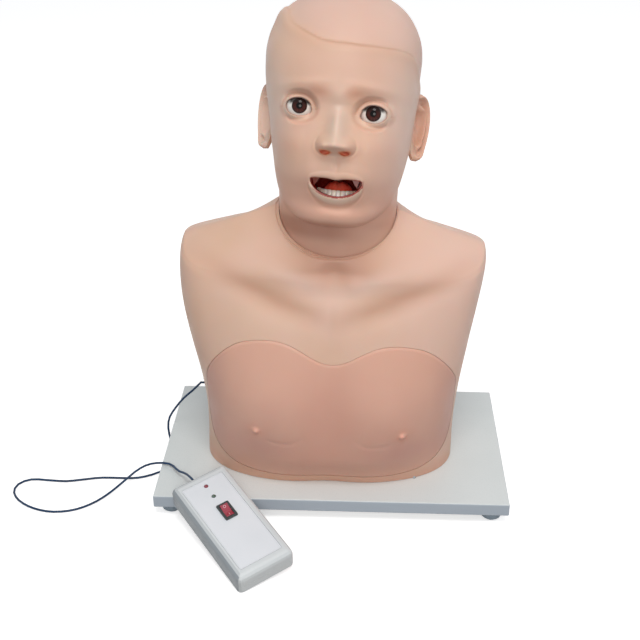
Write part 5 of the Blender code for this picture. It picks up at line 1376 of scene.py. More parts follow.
@dataclass
class ChestCover:
    """The soft foamed cover in its recess on the chest."""

    places: Places
    torso: Torso
    half_width: float = 0.139
    side_height: float = 0.112
    hump: float = 0.1865
    hump_tilt: float = -0.017
    hump_x: float = 0.094
    dip: float = 0.0270
    dip_width: float = 0.040
    bottom_height: float = 0.0125
    fall: float = 0.022
    square: float = 4.6
    thickness: float = 0.0026
    proud: float = 0.0006
    seam: float = 0.0005
    nipple: tuple[float, float] = (0.081, 0.0785)
    tints: tuple[Spot, ...] = (
        Spot("#CC9684", 0.50, 0.0, 0.095, 0.040, 0.060),     # between the breasts
        Spot("#BE8E84", 0.45, 0.085, 0.055, 0.035, 0.020),     # mauve shade of each breast
        Spot("#DDA791", 0.45, 0.0, 0.040, 0.050, 0.018),     # belly
    )
    # Foamed: warmer and duller than the torso round it
    finish: Finish = PaintedVinyl(
        "foamed vinyl of the chest cover, softer and warmer than the torso", "#D4A593", "#D9AC99",
        drift=60, roughness=0.52, roughness_spread=0.06, grain=1.8, relief=0.03, settings=SKIN_SHEEN)

    def grid(self, margin: float, columns: int, levels: int) -> tuple[Array, Array]:
        """x and height of a grid over the cover's area grown by margin, closer together at its sides.

        Args:
            margin: how far the area is grown.
            columns: cells across.
            levels: cells upwards.

        Returns:
            x and height, each columns by levels.
        """
        half = self.half_width + margin
        across = np.sin(np.linspace(-1, 1, columns + 1) * math.pi / 2 * 0.985) / math.sin(math.pi / 2 * 0.985)
        x = half * 0.999 * across
        side_fall = (1 - np.clip(np.abs(x) / half, 0, 1) ** 3.0) ** (1 / 3.0)
        outward = self.fall * np.clip((np.abs(x) - self.hump_x) / (half - self.hump_x), 0, 1) ** 2
        hump = self.hump + self.hump_tilt * x - self.dip * bell(x, self.dip_width) - outward
        rise = hump + margin - self.side_height
        top = self.side_height + rise * side_fall
        low_fall = (1 - np.clip(np.abs(x) / half, 0, 1) ** self.square) ** (1 / self.square)
        bottom = self.side_height - (self.side_height - self.bottom_height + margin) * low_fall
        up = np.linspace(0, 1, levels + 1)[None]
        return np.repeat(x[:, None], levels + 1, axis=1), bottom[:, None] + (top - bottom)[:, None] * up

    def recess(self) -> Mesh:
        """What the torso leaves out for the cover and the seam round it.

        Returns:
            The mesh in the scene.
        """
        x, z = self.grid(self.seam, 150, 50)
        skin = self.torso.chest(x, z)
        floor = skin - self.proud + self.thickness + GAP
        mesh = plate("cover_recess", x, self.torso.stood(x, z), skin - 0.02, floor)
        return moved(mesh, self.places.bust)

    def build(self) -> None:
        """Shapes the cover, with its nipples and a soft fold under each breast."""
        x, z = self.grid(0.0, 190, 100)
        skin = self.torso.chest(x, z)
        side = np.abs(x)
        rise = np.hypot(side - self.nipple[0], z - self.nipple[1])
        tips = 0.0034 * bell(rise, 0.0032, 3) + 0.0006 * bell(rise, 0.009)
        fold_z = 0.0640 + 10 * (side - 0.050) ** 2 + 0.35 * np.clip(0.042 - side, 0, 1)
        fold = 0.0005 * bell(z - fold_z, 0.0022) * step(side, 0.022, 0.034) * step(-side, -0.075, -0.060)
        rim = np.minimum(z - z[:, :1], z[:, -1:] - z)
        rounding = 0.0009 * (1 - step(rim, 0.0, 0.0022))
        front = skin - self.proud - tips + fold + rounding
        mesh = plate("soft_chest_cover", x, self.torso.stood(x, z), front, skin - self.proud + self.thickness)
        cover = new_object("soft_chest_cover", moved(mesh, self.places.bust))
        x, _, z = points_of(cover, self.places.bust).T
        side = np.abs(x)
        paint = Paint(len(x))
        paint.spray("#E0AF9A", 0.75 * step(z, 0.10, 0.175))
        paint.spots(self.tints, x, z, 1.0)
        paint.spray("#D8A188", 0.50 * step(-z, -0.045, -0.015))
        paint.spray("#B98F86", 0.40 * step(side, 0.105, 0.138))
        rise = np.hypot(side - self.nipple[0], z - self.nipple[1])
        paint.spray("#D79B86", 0.5 * bell(rise, 0.010))
        paint.spray("#E6AE9A", 0.9 * bell(rise, 0.0042, 4))
        paint.lay_on(cover.data)
        finished(cover, Body.BASE, self.finish, "chest_cover")


# Head


@dataclass
class Head:
    """The head and neck moulding; rings in mm in the face's frame, columns as the torso's."""

    places: Places
    rows: Table = (
        (-46, -134.5, 20, -36, -133, -24, -130, 2.0, 2.0),
        (-54, -134, 33, -30, -130, -10, -122, 2.0, 2.0),
        (-61, -130, 45, -24, -122, 6, -112, 2.1, 2.0),
        (-65, -122, 54, -18, -112, 24, -103, 2.2, 2.0),
        (-69, -110, 60, -12, -102, 40, -94, 2.2, 2.1),
        (-77, -98, 64, -6, -92, 52, -84, 2.2, 2.1),
        (-86, -86, 67, -2, -80, 62, -73, 2.2, 2.1),
        (-91, -74, 69.5, 2, -68, 71, -61, 2.2, 2.1),
        (-93, -58, 72.5, 5, -52, 80, -46, 2.2, 2.1),
        (-92, -42, 74.5, 6, -36, 88, -30, 2.2, 2.1),
        (-91.5, -26, 76.5, 8, -20, 94, -14, 2.25, 2.1),
        (-92, -12, 78.5, 9, -6, 97.5, 0, 2.3, 2.1),
        (-95, 2, 80, 10, 8, 98.5, 14, 2.3, 2.1),
        (-95, 20, 81, 11, 26, 98, 30, 2.3, 2.1),
        (-91.5, 38, 81, 11, 42, 94.5, 46, 2.25, 2.1),
        (-83.5, 56, 78, 11, 58, 87, 60, 2.2, 2.1),
        (-71, 73, 71, 11, 73, 76, 74, 2.15, 2.1),
        (-54, 87, 60, 11, 87, 61, 87, 2.1, 2.0),
        (-34, 98.5, 43, 11, 98.5, 44, 98, 2.0, 2.0),
        (-11, 105.5, 22, 10, 105.5, 24, 105, 2.0, 2.0),
    )
    crown: tuple[float, float, float] = (-0.0045, 0.008, 0.108)
    chin: tuple[float, float, float] = (0.0, -0.034, -0.1335)
    wall: float = 0.0055
    face_wall: float = 0.0105
    neck_radius: float = 0.0635
    eyes: Table = ((-1, -0.0385, -0.0690, -0.0166), (1, 0.0350, -0.0690, -0.0186))      # side, x, y and z
    brow_x: float = -0.0012
    ball_radius: float = 0.0150
    lid: float = 0.0013
    lid_depth: float = 0.006
    opening_half: tuple[float, float, float] = (0.0130, 0.0082, 0.0086)     # across, above and below
    mouth: tuple[float, float] = (0.0036, -0.0854)
    mouth_half: tuple[float, float, float] = (0.0250, 0.0024, 0.0148)       # across, above and below
    mouth_rows: Table = ((-0.125, 1.18), (-0.094, 1.03), (-0.086, 1.0), (-0.079, 1.06), (-0.070, 1.10),
                         (-0.062, 1.08))
    nose_x: float = 0.0016
    nose_tip: float = -0.0490
    nostril: tuple[float, float, float] = (0.0100, -0.1010, -0.0588)
    nostril_radii: tuple[float, float, float] = (0.0057, 0.0062, 0.0036)
    brow_hills: Table = (
        (-0.0022, 0.030, -0.015, 0.018, 0.0120, 0.0),
        (0.0018, 0.032, 0.0045, 0.024, 0.0075, -0.12),
        (0.0006, 0.031, 0.0070, 0.021, 0.0036, -0.12),
        (-0.0008, 0.024, -0.0030, 0.012, 0.0042, 0.0),
        (0.0040, 0.046, -0.046, 0.020, 0.018, 0.0),
        (-0.0007, 0.0305, -0.066, 0.006, 0.028, -4.0),
    )
    nose_hills: Table = (
        (0.0092, 0.0124, -0.0516, 0.0062, 0.0074, 0.0),
        (0.0018, 0.0, -0.0485, 0.0085, 0.0060, 0.0),
        (0.0030, 0.0, -0.006, 0.012, 0.012, 0.0),
    )
    chin_hills: Table = (
        (-0.0014, 0.0, -0.068, 0.0030, 0.0070, 0.0),
        (-0.0018, 0.0, -0.1135, 0.020, 0.0045, 0.0),
        (0.0038, 0.0, -0.1225, 0.019, 0.010, 0.0),
    )
    tints: tuple[Spot, ...] = (
        Spot("#E2AE98", 0.25, 0.045, -0.055, 0.022, 0.020),     # cheeks
        Spot("#CDA590", 0.55, 0.004, 0.026, 0.050, 0.032, None),     # forehead
        Spot("#CC8F74", 0.55, 0.0175, -0.0015, 0.010, 0.0065, -0.0012),     # inner ends of the brows
        Spot("#CE9C82", 0.22, 0.036, 0.00126, 0.019, 0.0045, -0.0012, -0.12),     # brows
        Spot("#D8A98E", 0.25, 0.021, -0.018, 0.008, 0.012, -0.0012),     # painted shade in the inner corners of the eyes
        Spot("#CFA088", 0.30, 0.037, -0.034, 0.015, 0.006, -0.0012),     # painted shade under the eyes
    )
    cap_line: Table = (     # degrees round the head from the front, and height in mm
        (-180, 44), (-130, 70), (-85, 84), (-52.4, 78), (-35.8, 62.9), (-23, 54.8), (-12.5, 47.9), (-5, 46.5),
        (2.8, 46.5), (10.8, 45.2), (19.4, 45.3), (35, 44.4), (45, 42.8), (54, 39.9), (64, 29.6), (72.5, 18.3),
        (100, 8), (140, 22), (180, 44),
    )
    # Rotation moulded: the torso's waxy skin, a touch smoother on the face
    finish: Finish = PaintedVinyl(
        "soft PVC vinyl of the head, rotation moulded, so a dull waxy sheen", "#DDB79E", "#E0BBA8",
        drift=60, roughness=0.48, roughness_spread=0.06, grain=1.5, relief=0.018, settings=SKIN_SHEEN)

    def mouth_outline(self, grow: float = 1.0, around: int = 120) -> Array:
        """The mouth's edge, x and z: flat above with a small dip in its middle, and round below.

        Args:
            grow: the outline's size as a share.
            around: its number of points.

        Returns:
            The points, one row each.
        """
        angles = turn_angles(around)
        across, up = np.sin(angles), np.cos(angles)
        half, above, below = self.mouth_half
        dip = 0.0015 * bell(across * half, 0.0060)
        z = np.where(up > 0, above * np.abs(up) ** 0.60 - dip, -below * np.abs(up) ** 1.12)
        return np.stack([self.mouth[0] + half * grow * across, self.mouth[1] + grow * z], axis=1)

    def eye_outline(self, side: int, around: int = 96) -> Array:
        """An eye's opening, x and z from the eye's middle: round, drawn to a point at both corners.

        Args:
            side: -1 for the left eye, 1 for the right.
            around: its number of points.

        Returns:
            The points, one row each.
        """
        angles = turn_angles(around)
        across, up = np.sin(angles), np.cos(angles)
        half, above, below = self.opening_half
        arch = np.abs(up) ** 1.12
        z = np.where(up > 0, above, -below) * arch - 0.0024 * np.clip(-side * across, 0, 1) ** 3
        return np.stack([half * across, z], axis=1)

    def lips(self, x: Array, z: Array) -> tuple[Array, Array]:
        """The gap to the mouth's edge, and the same as a share of the lip's breadth there.

        Args:
            x: the points' x.
            z: their heights.

        Returns:
            The gaps and the shares.
        """
        gap = gap_to(self.mouth_outline(), x, z)
        across = np.clip(np.abs(x - self.mouth[0]) / 0.0285, 0, 1)
        arch = np.sqrt(1 - across**2)
        above = step(z, self.mouth[1] - 0.0015, self.mouth[1] + 0.0015)
        breadth = 0.0016 + arch * (0.0050 * above + 0.0078 * (1 - above))
        return gap, gap / breadth

    def rise(self, x: Array, z: Array) -> Array:
        """How far the face stands out of the plain skull, forwards.

        Args:
            x: the points' x.
            z: their heights.

        Returns:
            The rise at each point.
        """
        nose_x, mouth_x = x - self.nose_x, x - self.mouth[0]
        down = np.clip((self.nose_tip + 0.038 - z) / 0.038, 0, 1)
        under = step(z, self.nose_tip - 0.0125, self.nose_tip - 0.0015)
        width = 0.0085 * (0.75 + 0.70 * down)
        slant = 0.27 * step(down, 0, 0.35) + 0.73 * down**1.5
        ridge = 0.0190 * slant * under * bell(nose_x, width)
        wing = np.hypot((np.abs(nose_x) - 0.0105) / 0.0082, (z + 0.0508) / 0.0088)
        outside = step(np.abs(nose_x), 0.008, 0.014)
        crease = -0.0016 * bell(wing - 1.17, 0.17) * outside * step(-z, 0.041, 0.048)
        gap, share = self.lips(x, z)
        outer = np.clip(gap, 0, 1)
        below = step(-z, -self.mouth[1] + 0.002, -self.mouth[1] + 0.009)
        roll = (0.0007 + 0.0017 * below) * np.sin(math.pi * np.clip(share / 1.15, 0, 1) ** 0.8)
        pout = 0.0018 * bell(outer, 0.0125)
        turned_in = -0.0011 * (1 - step(gap, -0.0006, 0.0018))
        under_lip = -0.0009 * bell(share - 1.50, 0.34) * below
        lips = roll + pout + turned_in + under_lip
        relief = hills(x - self.brow_x, z, self.brow_hills) + hills(nose_x, z, self.nose_hills)
        return ridge + crease + lips + relief + hills(mouth_x, z, self.chin_hills)

    def with_lids(self, points: Array) -> None:
        """Draws the lids over the eyeballs: a rim round each opening, and a fold over it.

        Args:
            points: the skull's points, rings by angles by xyz, which are changed.
        """
        for side, middle, ball_y, height in self.eyes:
            dx, dz = points[..., 0] - middle, points[..., 2] - height
            near = (np.hypot(dx / 0.026, dz / 0.020) < 1) & (points[..., 1] < -0.04)
            dx, dz = dx[near], dz[near]
            radius = self.ball_radius + self.lid
            dome = ball_y - np.sqrt(np.maximum(radius**2 - dx**2 - dz**2, (0.30 * radius) ** 2))
            gap = gap_to(self.eye_outline(side), dx, dz, 0.012)
            fold_at = np.where(dz > 0, 0.0046, 0.0060)
            fold = np.where(dz > 0, 0.0007, 0.0003) * bell(gap - fold_at, np.where(dz > 0, 0.0011, 0.0020))
            rim = 0.0004 * bell(gap - 0.0022, 0.0016) - 0.0004 * (1 - step(gap, 0.0, 0.0009))
            weight = 1 - step(np.hypot(dx / 0.0178, dz / 0.0145), 0.76, 1.26)
            back = dome - points[..., 1][near]
            back = np.where(back > 0, self.lid_depth * np.tanh(back / self.lid_depth), back)
            points[..., 1][near] += back * weight - (rim - fold) * step(-gap, -0.012, -0.009)

    def cap_gap(self, points: Array) -> Array:
        """How far each point lies above the cap's edge, in metres.

        Args:
            points: points in the face's frame.

        Returns:
            The gap of each point.
        """
        line = np.array(self.cap_line)
        degrees = np.degrees(np.arctan2(points[..., 0], -points[..., 1] + 0.010))
        knots = np.linspace(-180, 180, 361)
        rough = np.interp(knots, line[:, 0], line[:, 1])
        kernel = np.exp(-(np.linspace(-2, 2, 13) ** 2))
        smooth = np.convolve(np.pad(rough, 6, mode="edge"), kernel / kernel.sum(), mode="valid")
        return points[..., 2] - np.interp(degrees, knots, smooth) * MM

    def surface(self) -> Mesh:
        """The skull with the face on its front and the cap's step on its crown.

        Returns:
            The mesh in the scene.
        """
        spans = np.concatenate([np.linspace(0, 4, 22)[:-1], np.linspace(4, 13, 168)[:-1],
                                np.linspace(13, 19, 62)])
        angles = turn_angles(264, 0.72)
        points = self.swayed(rings(inset(self.rows, 0, 0, 0), spans, angles))
        facing = step(np.cos(angles), 0.15, 0.6)[None]
        points[..., 1] -= self.rise(points[..., 0], points[..., 2]) * facing
        self.with_lids(points)
        above = self.cap_gap(points)
        outward = points - np.array([0, 0.010, 0])
        outward /= np.linalg.norm(outward, axis=2)[..., None]
        down = 0.0012 * step(above, -0.0014, 0.0014) * (0.45 + 0.55 * bell(np.clip(above, 0, 1), 0.022))
        swell = 0.0010 * bell(above + 0.006, 0.007) * (above < 0)
        degrees = np.degrees(np.arctan2(points[..., 0], -points[..., 1] + 0.010))
        temple = 0.0016 * bell(above + 0.007, 0.009) * bell(degrees + 58, 22)
        points += outward * (swell + temple - down)[..., None]
        return moved(loft("vinyl_head", points, self.chin, self.crown), self.places.face)

    @staticmethod
    def swayed(points: Array) -> Array:
        """The skull's points, those near the crown moved to the left."""
        points[..., 0] -= 0.0045 * step(points[..., 2], -0.080, 0.040)
        return points

    def hollow(self, name: str, clearance: float) -> Mesh:
        """The skull's hollow, clearance smaller all round.

        Args:
            name: the mesh's name.
            clearance: how much smaller it is.

        Returns:
            The mesh in the scene.
        """
        side = self.wall + clearance
        rows = inset(self.rows, self.face_wall + clearance, side, side)
        last = len(rows) - 1
        rows[:4, [1, 4, 6]] += side + 0.002
        rows[last - 3 :, [1, 4, 6]] -= side
        rows[9:, 0] += 0.004
        points = self.swayed(rings(rows, np.linspace(1, last, 60), turn_angles(96)))
        return moved(loft(name, points), self.places.face)

    @staticmethod
    def ear_height(share: float, turn: Array) -> Array:
        """How far an ear's face stands out at a share of the way to its edge, for each angle from its top.

        Args:
            share: the share of the way to the edge.
            turn: the angles, 0 at the ear's top.

        Returns:
            The height at each angle.
        """
        behind = np.sin(turn)
        bowl = -0.0085 * bell(share, 0.46, 4)
        helix = 0.0062 * bell(share - 0.91, 0.075) * step(behind, -0.55, 0.0)
        groove = -0.0022 * bell(share - 0.76, 0.060) * step(behind, 0.1, 0.6)
        ridge = 0.0050 * bell(share - 0.59, 0.080) * step(behind, -0.1, 0.5)
        flap = 0.0050 * bell(share - 0.52, 0.16) * bell(turn - 1.5 * math.pi, 0.42)
        lobe = 0.0016 * bell(share - 0.75, 0.22) * step(-np.cos(turn), 0.6, 0.95)
        return bowl + helix + groove + ridge + flap + lobe

    def ear(self, side: int) -> Mesh:
        """One ear: a rolled rim, an inner ridge, a bowl, a small flap before it and a soft lobe.

        Args:
            side: -1 for the left ear, 1 for the right.

        Returns:
            The mesh in the scene.
        """
        turn = turn_angles(84)
        wave = 1 + 0.20 * np.cos(turn) - 0.065 * np.sin(turn) - 0.05 * np.cos(2 * turn)
        wide, tall = 0.0185 * wave * np.sin(turn), 0.0355 * np.cos(turn) * (1 - 0.03 * np.cos(turn))
        layers = [(share, self.ear_height(share, turn)) for share in np.linspace(0.04, 1.0, 34)]
        for share in (0.985, 0.95, 0.85, 0.55):
            layers.append((share, np.full(84, -0.0028 - 0.0170 * (1 - share))))
        points = np.stack([np.stack([share * wide, share * tall, z], axis=1) for share, z in layers])
        mesh = loft(f"ear_{side}", points, (0, 0, float(self.ear_height(0.0, turn).mean())), (0, 0, -0.0135))
        place = Matrix.Translation((-0.0030 + side * 0.073, 0.022 - 0.037 * 0.28, -0.0265))
        lean = spin(-8, "X")
        flare = spin(-side * 27, "Z")
        stand = Matrix(((0, 0, side, 0), (1, 0, 0, 0), (0, 1, 0, 0), (0, 0, 0, 1)))
        place = self.places.face @ place @ lean @ flare @ stand
        return moved(mesh, place @ Matrix.Translation((0.037 * 0.42, 0, 0)))

    def mouth_tool(self) -> Mesh:
        """The mouth's opening, from the lips into the throat.

        Returns:
            The mesh in the scene.
        """
        stops = catmull_rom(self.mouth_rows, np.linspace(0, len(self.mouth_rows) - 1, 40))
        points = []
        for y, grow in stops:
            outline = self.mouth_outline(grow)
            points.append(np.stack([outline[:, 0], np.full(len(outline), y), outline[:, 1]], axis=1))
        return moved(loft("mouth_opening", np.stack(points)), self.places.face)

    def eye_tools(self, side: int, middle: Sequence[float]) -> Iterable[tuple[Cut, Mesh]]:
        """The pocket for an eyeball, and the opening between the lids.

        Args:
            side: -1 for the left eye, 1 for the right.
            middle: the eyeball's middle in the face's frame.

        Returns:
            Each tool's work and mesh.
        """
        place = self.places.face @ Matrix.Translation(middle)
        yield Cut.TAKE, moved(ball("eye_pocket", [self.ball_radius + GAP] * 3, 40, 60), place)
        outline = self.eye_outline(side)
        layers = [np.stack([outline[:, 0], np.full(len(outline), -out), outline[:, 1]], axis=1)
                  for out in np.linspace(0.004, 0.030, 14)]
        yield Cut.TAKE, moved(loft("eye_opening", np.stack(layers)), place)

    def build(self) -> None:
        """Moulds the head and neck, cuts its openings and sprays its tints and painted shade."""
        neck = self.places.head @ Places.neck()
        tools = [(Cut.JOIN, moved(cylinder("neck", self.neck_radius, -0.056, 0.052, 180, 30), neck))]
        tools += [(Cut.JOIN, self.ear(side)) for side in (-1, 1)]
        tools.append((Cut.TAKE, self.hollow("skull_hollow", 0.0)))
        bore = cylinder("neck_bore", self.neck_radius - 0.004, -0.060, 0.040, 120)
        tools.append((Cut.TAKE, moved(bore, neck)))
        tools.append((Cut.TAKE, self.mouth_tool()))
        for side, *middle in self.eyes:
            tools += self.eye_tools(side, middle)
            x, y, z = self.nostril
            at = Matrix.Translation((self.nose_x + side * x, y, z)) @ spin(side * 14, "Y")
            hole = ball("nostril", self.nostril_radii, 30, 40)
            tools.append((Cut.TAKE, moved(hole, self.places.face @ at)))
        head = carve("vinyl_head", self.surface(), tools)
        self.spray(head)
        finished(head, Body.HEAD, self.finish, "head_skin", sharp=50)

    def spray(self, head: Object) -> None:
        """Lays the face's tints and painted shade: crown, cap edge, brows, lids, nostrils, lips, ears and the
        mouth's red.

        Args:
            head: the carved head.
        """
        points = points_of(head, self.places.face)
        x, y, z = points.T
        paint = Paint(len(x))
        front = step(-y, 0.0, 0.04)
        above = self.cap_gap(points)
        paint.spray("#D6B2A4", 0.75 * step(above, -0.004, 0.010))
        paint.spray("#E2C1B2", 0.55 * step(x, 0.015, 0.060) * front)
        temples = step(np.abs(x), 0.036, 0.064) * bell(z + 0.010, 0.045)
        paint.spray("#EBD0C0", 0.75 * temples * front)
        paint.spray("#D99F8A", 0.45 * step(-z, 0.060, 0.115))
        # painted shadow of the chin on the top of the neck, weaker on the right
        chin_shadow_band = step(-z, 0.124, 0.134) * (1 - step(-z, 0.143, 0.158)) * (y > -0.080)
        paint.spray("#8E523C", 0.50 * chin_shadow_band * (1 - 0.8 * step(x, -0.005, 0.035)))
        paint.spots(self.tints, x, z, front)
        # painted shade just below the cap's edge
        paint.spray("#C39B80", 0.30 * bell(above + 0.004, 0.006) * front)
        fade = 1 - 0.75 * step(np.abs(np.degrees(np.arctan2(x, -y + 0.010)) + 52), 30, 5)
        paint.spray("#A9795A", 0.42 * fade * bell(above - 0.0002, 0.0011) * front)
        self.spray_eyes(paint, x, y, z)
        paint.spray("#E6BFA9", 0.50 * step(x, 0.015, 0.050) * step(-z, 0.130, 0.142))
        nose = np.abs(x - self.nose_x)
        paint.spray("#CFBFB2", 0.50 * bump(nose, z, 0.0, -0.032, 0.010, 0.030) * front)
        paint.spray("#DFA383", 0.40 * bump(nose, z, 0.012, -0.058, 0.010, 0.006) * step(-y, 0.08, 0.09))
        hole = np.hypot((nose - self.nostril[0]) / 0.0059, (z - self.nostril[2]) / 0.0040)
        deep = np.sqrt(hole**2 + ((y - self.nostril[1]) / 0.0064) ** 2)
        paint.spray("#E08A5C", 0.80 * (1 - step(deep, 1.0, 1.50)))
        paint.spray("#B8431E", 0.9 * (1 - step(deep, 0.94, 1.06)) * step(y, -0.1060, -0.1005))
        gap, share = self.lips(x, z)
        near = (y < -0.060) & (np.abs(x - self.mouth[0]) < 0.040) & (z < -0.060) & (z > -0.125)
        outer = near & (gap > -0.0004)
        below = step(-z, -self.mouth[1] + 0.001, -self.mouth[1] + 0.008)
        paint.spray("#E9D1BD", (0.10 + 0.65 * below) * (1 - step(share, 0.75, 1.30)) * outer)
        # painted shadow under the lower lip
        paint.spray("#C39279", 0.45 * bell(share - 1.40, 0.28) * outer * below)
        paint.spray("#C08468", 0.75 * (1 - step(gap, 0.0, 0.0011)) * near)
        inside = near & (gap < 0.0032) & (points_of(head, self.places.face, "normal")[:, 1] > -0.62)
        paint.spray("#B4422C", 0.90 * step(y, -0.0895, -0.0845) * inside)
        # painted shade: the mouth's walls darker deeper in
        paint.spray("#8E2018", 0.95 * step(y, -0.083, -0.078) * near * (gap < 0.0028))
        beside = step(np.abs(x + 0.003), 0.0755, 0.079)
        # the right ear's bowl: an orange-brown tone, darker in its hollow as painted shade
        paint.spray("#CF9C84", 0.45 * beside * step(x, 0.0, 0.02) * bump(y, z, 0.022, -0.030, 0.024, 0.040))
        paint.spray("#B0704C", 0.70 * beside * step(x, 0.0, 0.02) * bump(y, z, 0.024, -0.030, 0.012, 0.020))
        paint.spray("#E6CDC0", 0.60 * beside * step(-x, 0.0, 0.02))
        paint.lay_on(head.data)

    def spray_eyes(self, paint: Paint, x: Array, y: Array, z: Array) -> None:
        """Lays the lids' edges, and painted shade in the fold over each upper lid and under each lower lid.

        Args:
            paint: the tints so far, which get more.
            x: the points' x in the face's frame.
            y: their y.
            z: their heights.
        """
        for side, middle, _, height in self.eyes:
            dx, dz = x - middle, z - height
            near = (np.hypot(dx / 0.026, dz / 0.020) < 1) & (y < -0.06)
            gap = gap_to(self.eye_outline(side), dx, dz, 0.012)
            paint.spray("#EAD0BC", 0.35 * bell(gap - 0.0030, 0.0020) * near * (dz < 0))
            # painted shade in the fold over the upper lid
            paint.spray("#BE8468", 0.45 * bell(gap - 0.0044, 0.0011) * near * (dz > -0.002))
            # painted shadow under the lower lid
            paint.spray("#C99078", 0.28 * bell(gap - 0.0058, 0.0018) * near * (dz < 0))
            paint.spray("#A8674F", 0.70 * (1 - step(gap, -0.0002, 0.0009)) * near)
            paint.spray("#3A1C15", 0.95 * (1 - step(gap, 0.0005, 0.0018)) * near * step(dz, 0.0005, 0.0040))


@dataclass
class Eyes:
    """Cast acrylic eyes with a clear bulge over a dark brown iris."""

    places: Places
    head: Head
    iris: float = 0.0075
    pupil: float = 0.0030
    bulge: float = 0.0008
    gaze: Table = ((3.0, -3.0), (-1.0, -3.0))      # turn and tilt in degrees
    # Polished: small sharp highlights over white and dark brown
    finish: Finish = PaintedVinyl(
        "cast acrylic eye, polished, so a sharp highlight", "#F1EFEA", "#ECE6DF",
        drift=9, roughness=0.06, roughness_spread=0.01, grain=3.0, relief=0.002,
        settings=(("IOR", 1.45), ("Specular IOR Level", 0.18)))

    def build(self) -> None:
        """Casts both eyes and paints their irises."""
        for (side, *middle), (turn, tilt) in zip(self.head.eyes, self.gaze):
            around = 96
            fall = np.concatenate([np.linspace(0.01, 0.75, 70), np.linspace(0.78, math.pi - 0.05, 40)])
            fall = fall[:, None]
            phi = turn_angles(around)[None]
            radius = self.head.ball_radius - 0.0001 + self.bulge * bell(fall, 0.52, 4)
            points = np.stack([radius * np.sin(fall) * np.sin(phi), -radius * np.cos(fall) + 0 * phi,
                               radius * np.sin(fall) * np.cos(phi)], axis=2)
            name = "eyeball_left" if side < 0 else "eyeball_right"
            aim = spin(turn, "Z") @ spin(tilt, "X")
            place = self.places.face @ Matrix.Translation(middle) @ aim
            eye = new_object(name, moved(loft(name, points), place))
            self.colour(eye, place, side)
            finished(eye, Body.HEAD, self.finish, "eye_left" if side < 0 else "eye_right")

    def colour(self, eye: Object, place: Matrix, side: int) -> None:
        """Paints pupil, iris, its dark ring, painted light on the iris's lower part, and the upper lid's
        painted shadow with the lashes.

        Args:
            eye: the eyeball.
            place: its place in the scene, looking along -Y.
            side: -1 for the left eye, 1 for the right.
        """
        x, y, z = points_of(eye, place).T
        ring, turn = np.hypot(x, z), np.arctan2(z, x)
        chance = np.random.default_rng(11)
        waves = [chance.uniform(0.3, 1)
                 * np.sin(k * turn + chance.uniform(0, 6.3)) for k in (7, 13, 19, 29, 37)]
        streak = sum(waves) / 3
        front = y < 0
        paint = Paint(len(x))
        paint.spray("#2A120F", 1.0 * (1 - step(ring, self.iris - 0.0003, self.iris + 0.0004)) * front)
        brown = (1 - step(ring, self.iris - 0.0016, self.iris - 0.0006)) * front
        paint.spray("#3E1A14", brown)
        # painted light: the iris's lower part lighter
        lit = step(-z, -0.0015, 0.0045) * step(ring, self.pupil, self.pupil + 0.0015)
        paint.spray("#6A3024", 0.60 * lit * brown * step(streak, -0.2, 0.6))
        # painted shadow of the upper lid over the iris's top
        paint.spray("#1B0B0A", 0.80 * brown * step(z, -0.0005, 0.0045))
        paint.spray("#030202", (1 - step(ring, self.pupil - 0.0002, self.pupil + 0.0004)) * front)
        paint.spray("#C9A79A", 0.25 * step(ring, 0.0105, 0.0125) * front)
        # dark lashes with the upper lid's painted shadow, just inside the lid's edge
        edge = -gap_to(self.head.eye_outline(side), x, z, 0.012)
        lash_and_lid_shadow = (1 - step(edge, 0.0028, 0.0056)) * step(z, 0.0, 0.0035) * (1 - step(np.abs(x), 0.0085, 0.0120))
        paint.spray("#1C0E0B", 0.92 * lash_and_lid_shadow * front)
        paint.lay_on(eye.data)


# Mouth and throat


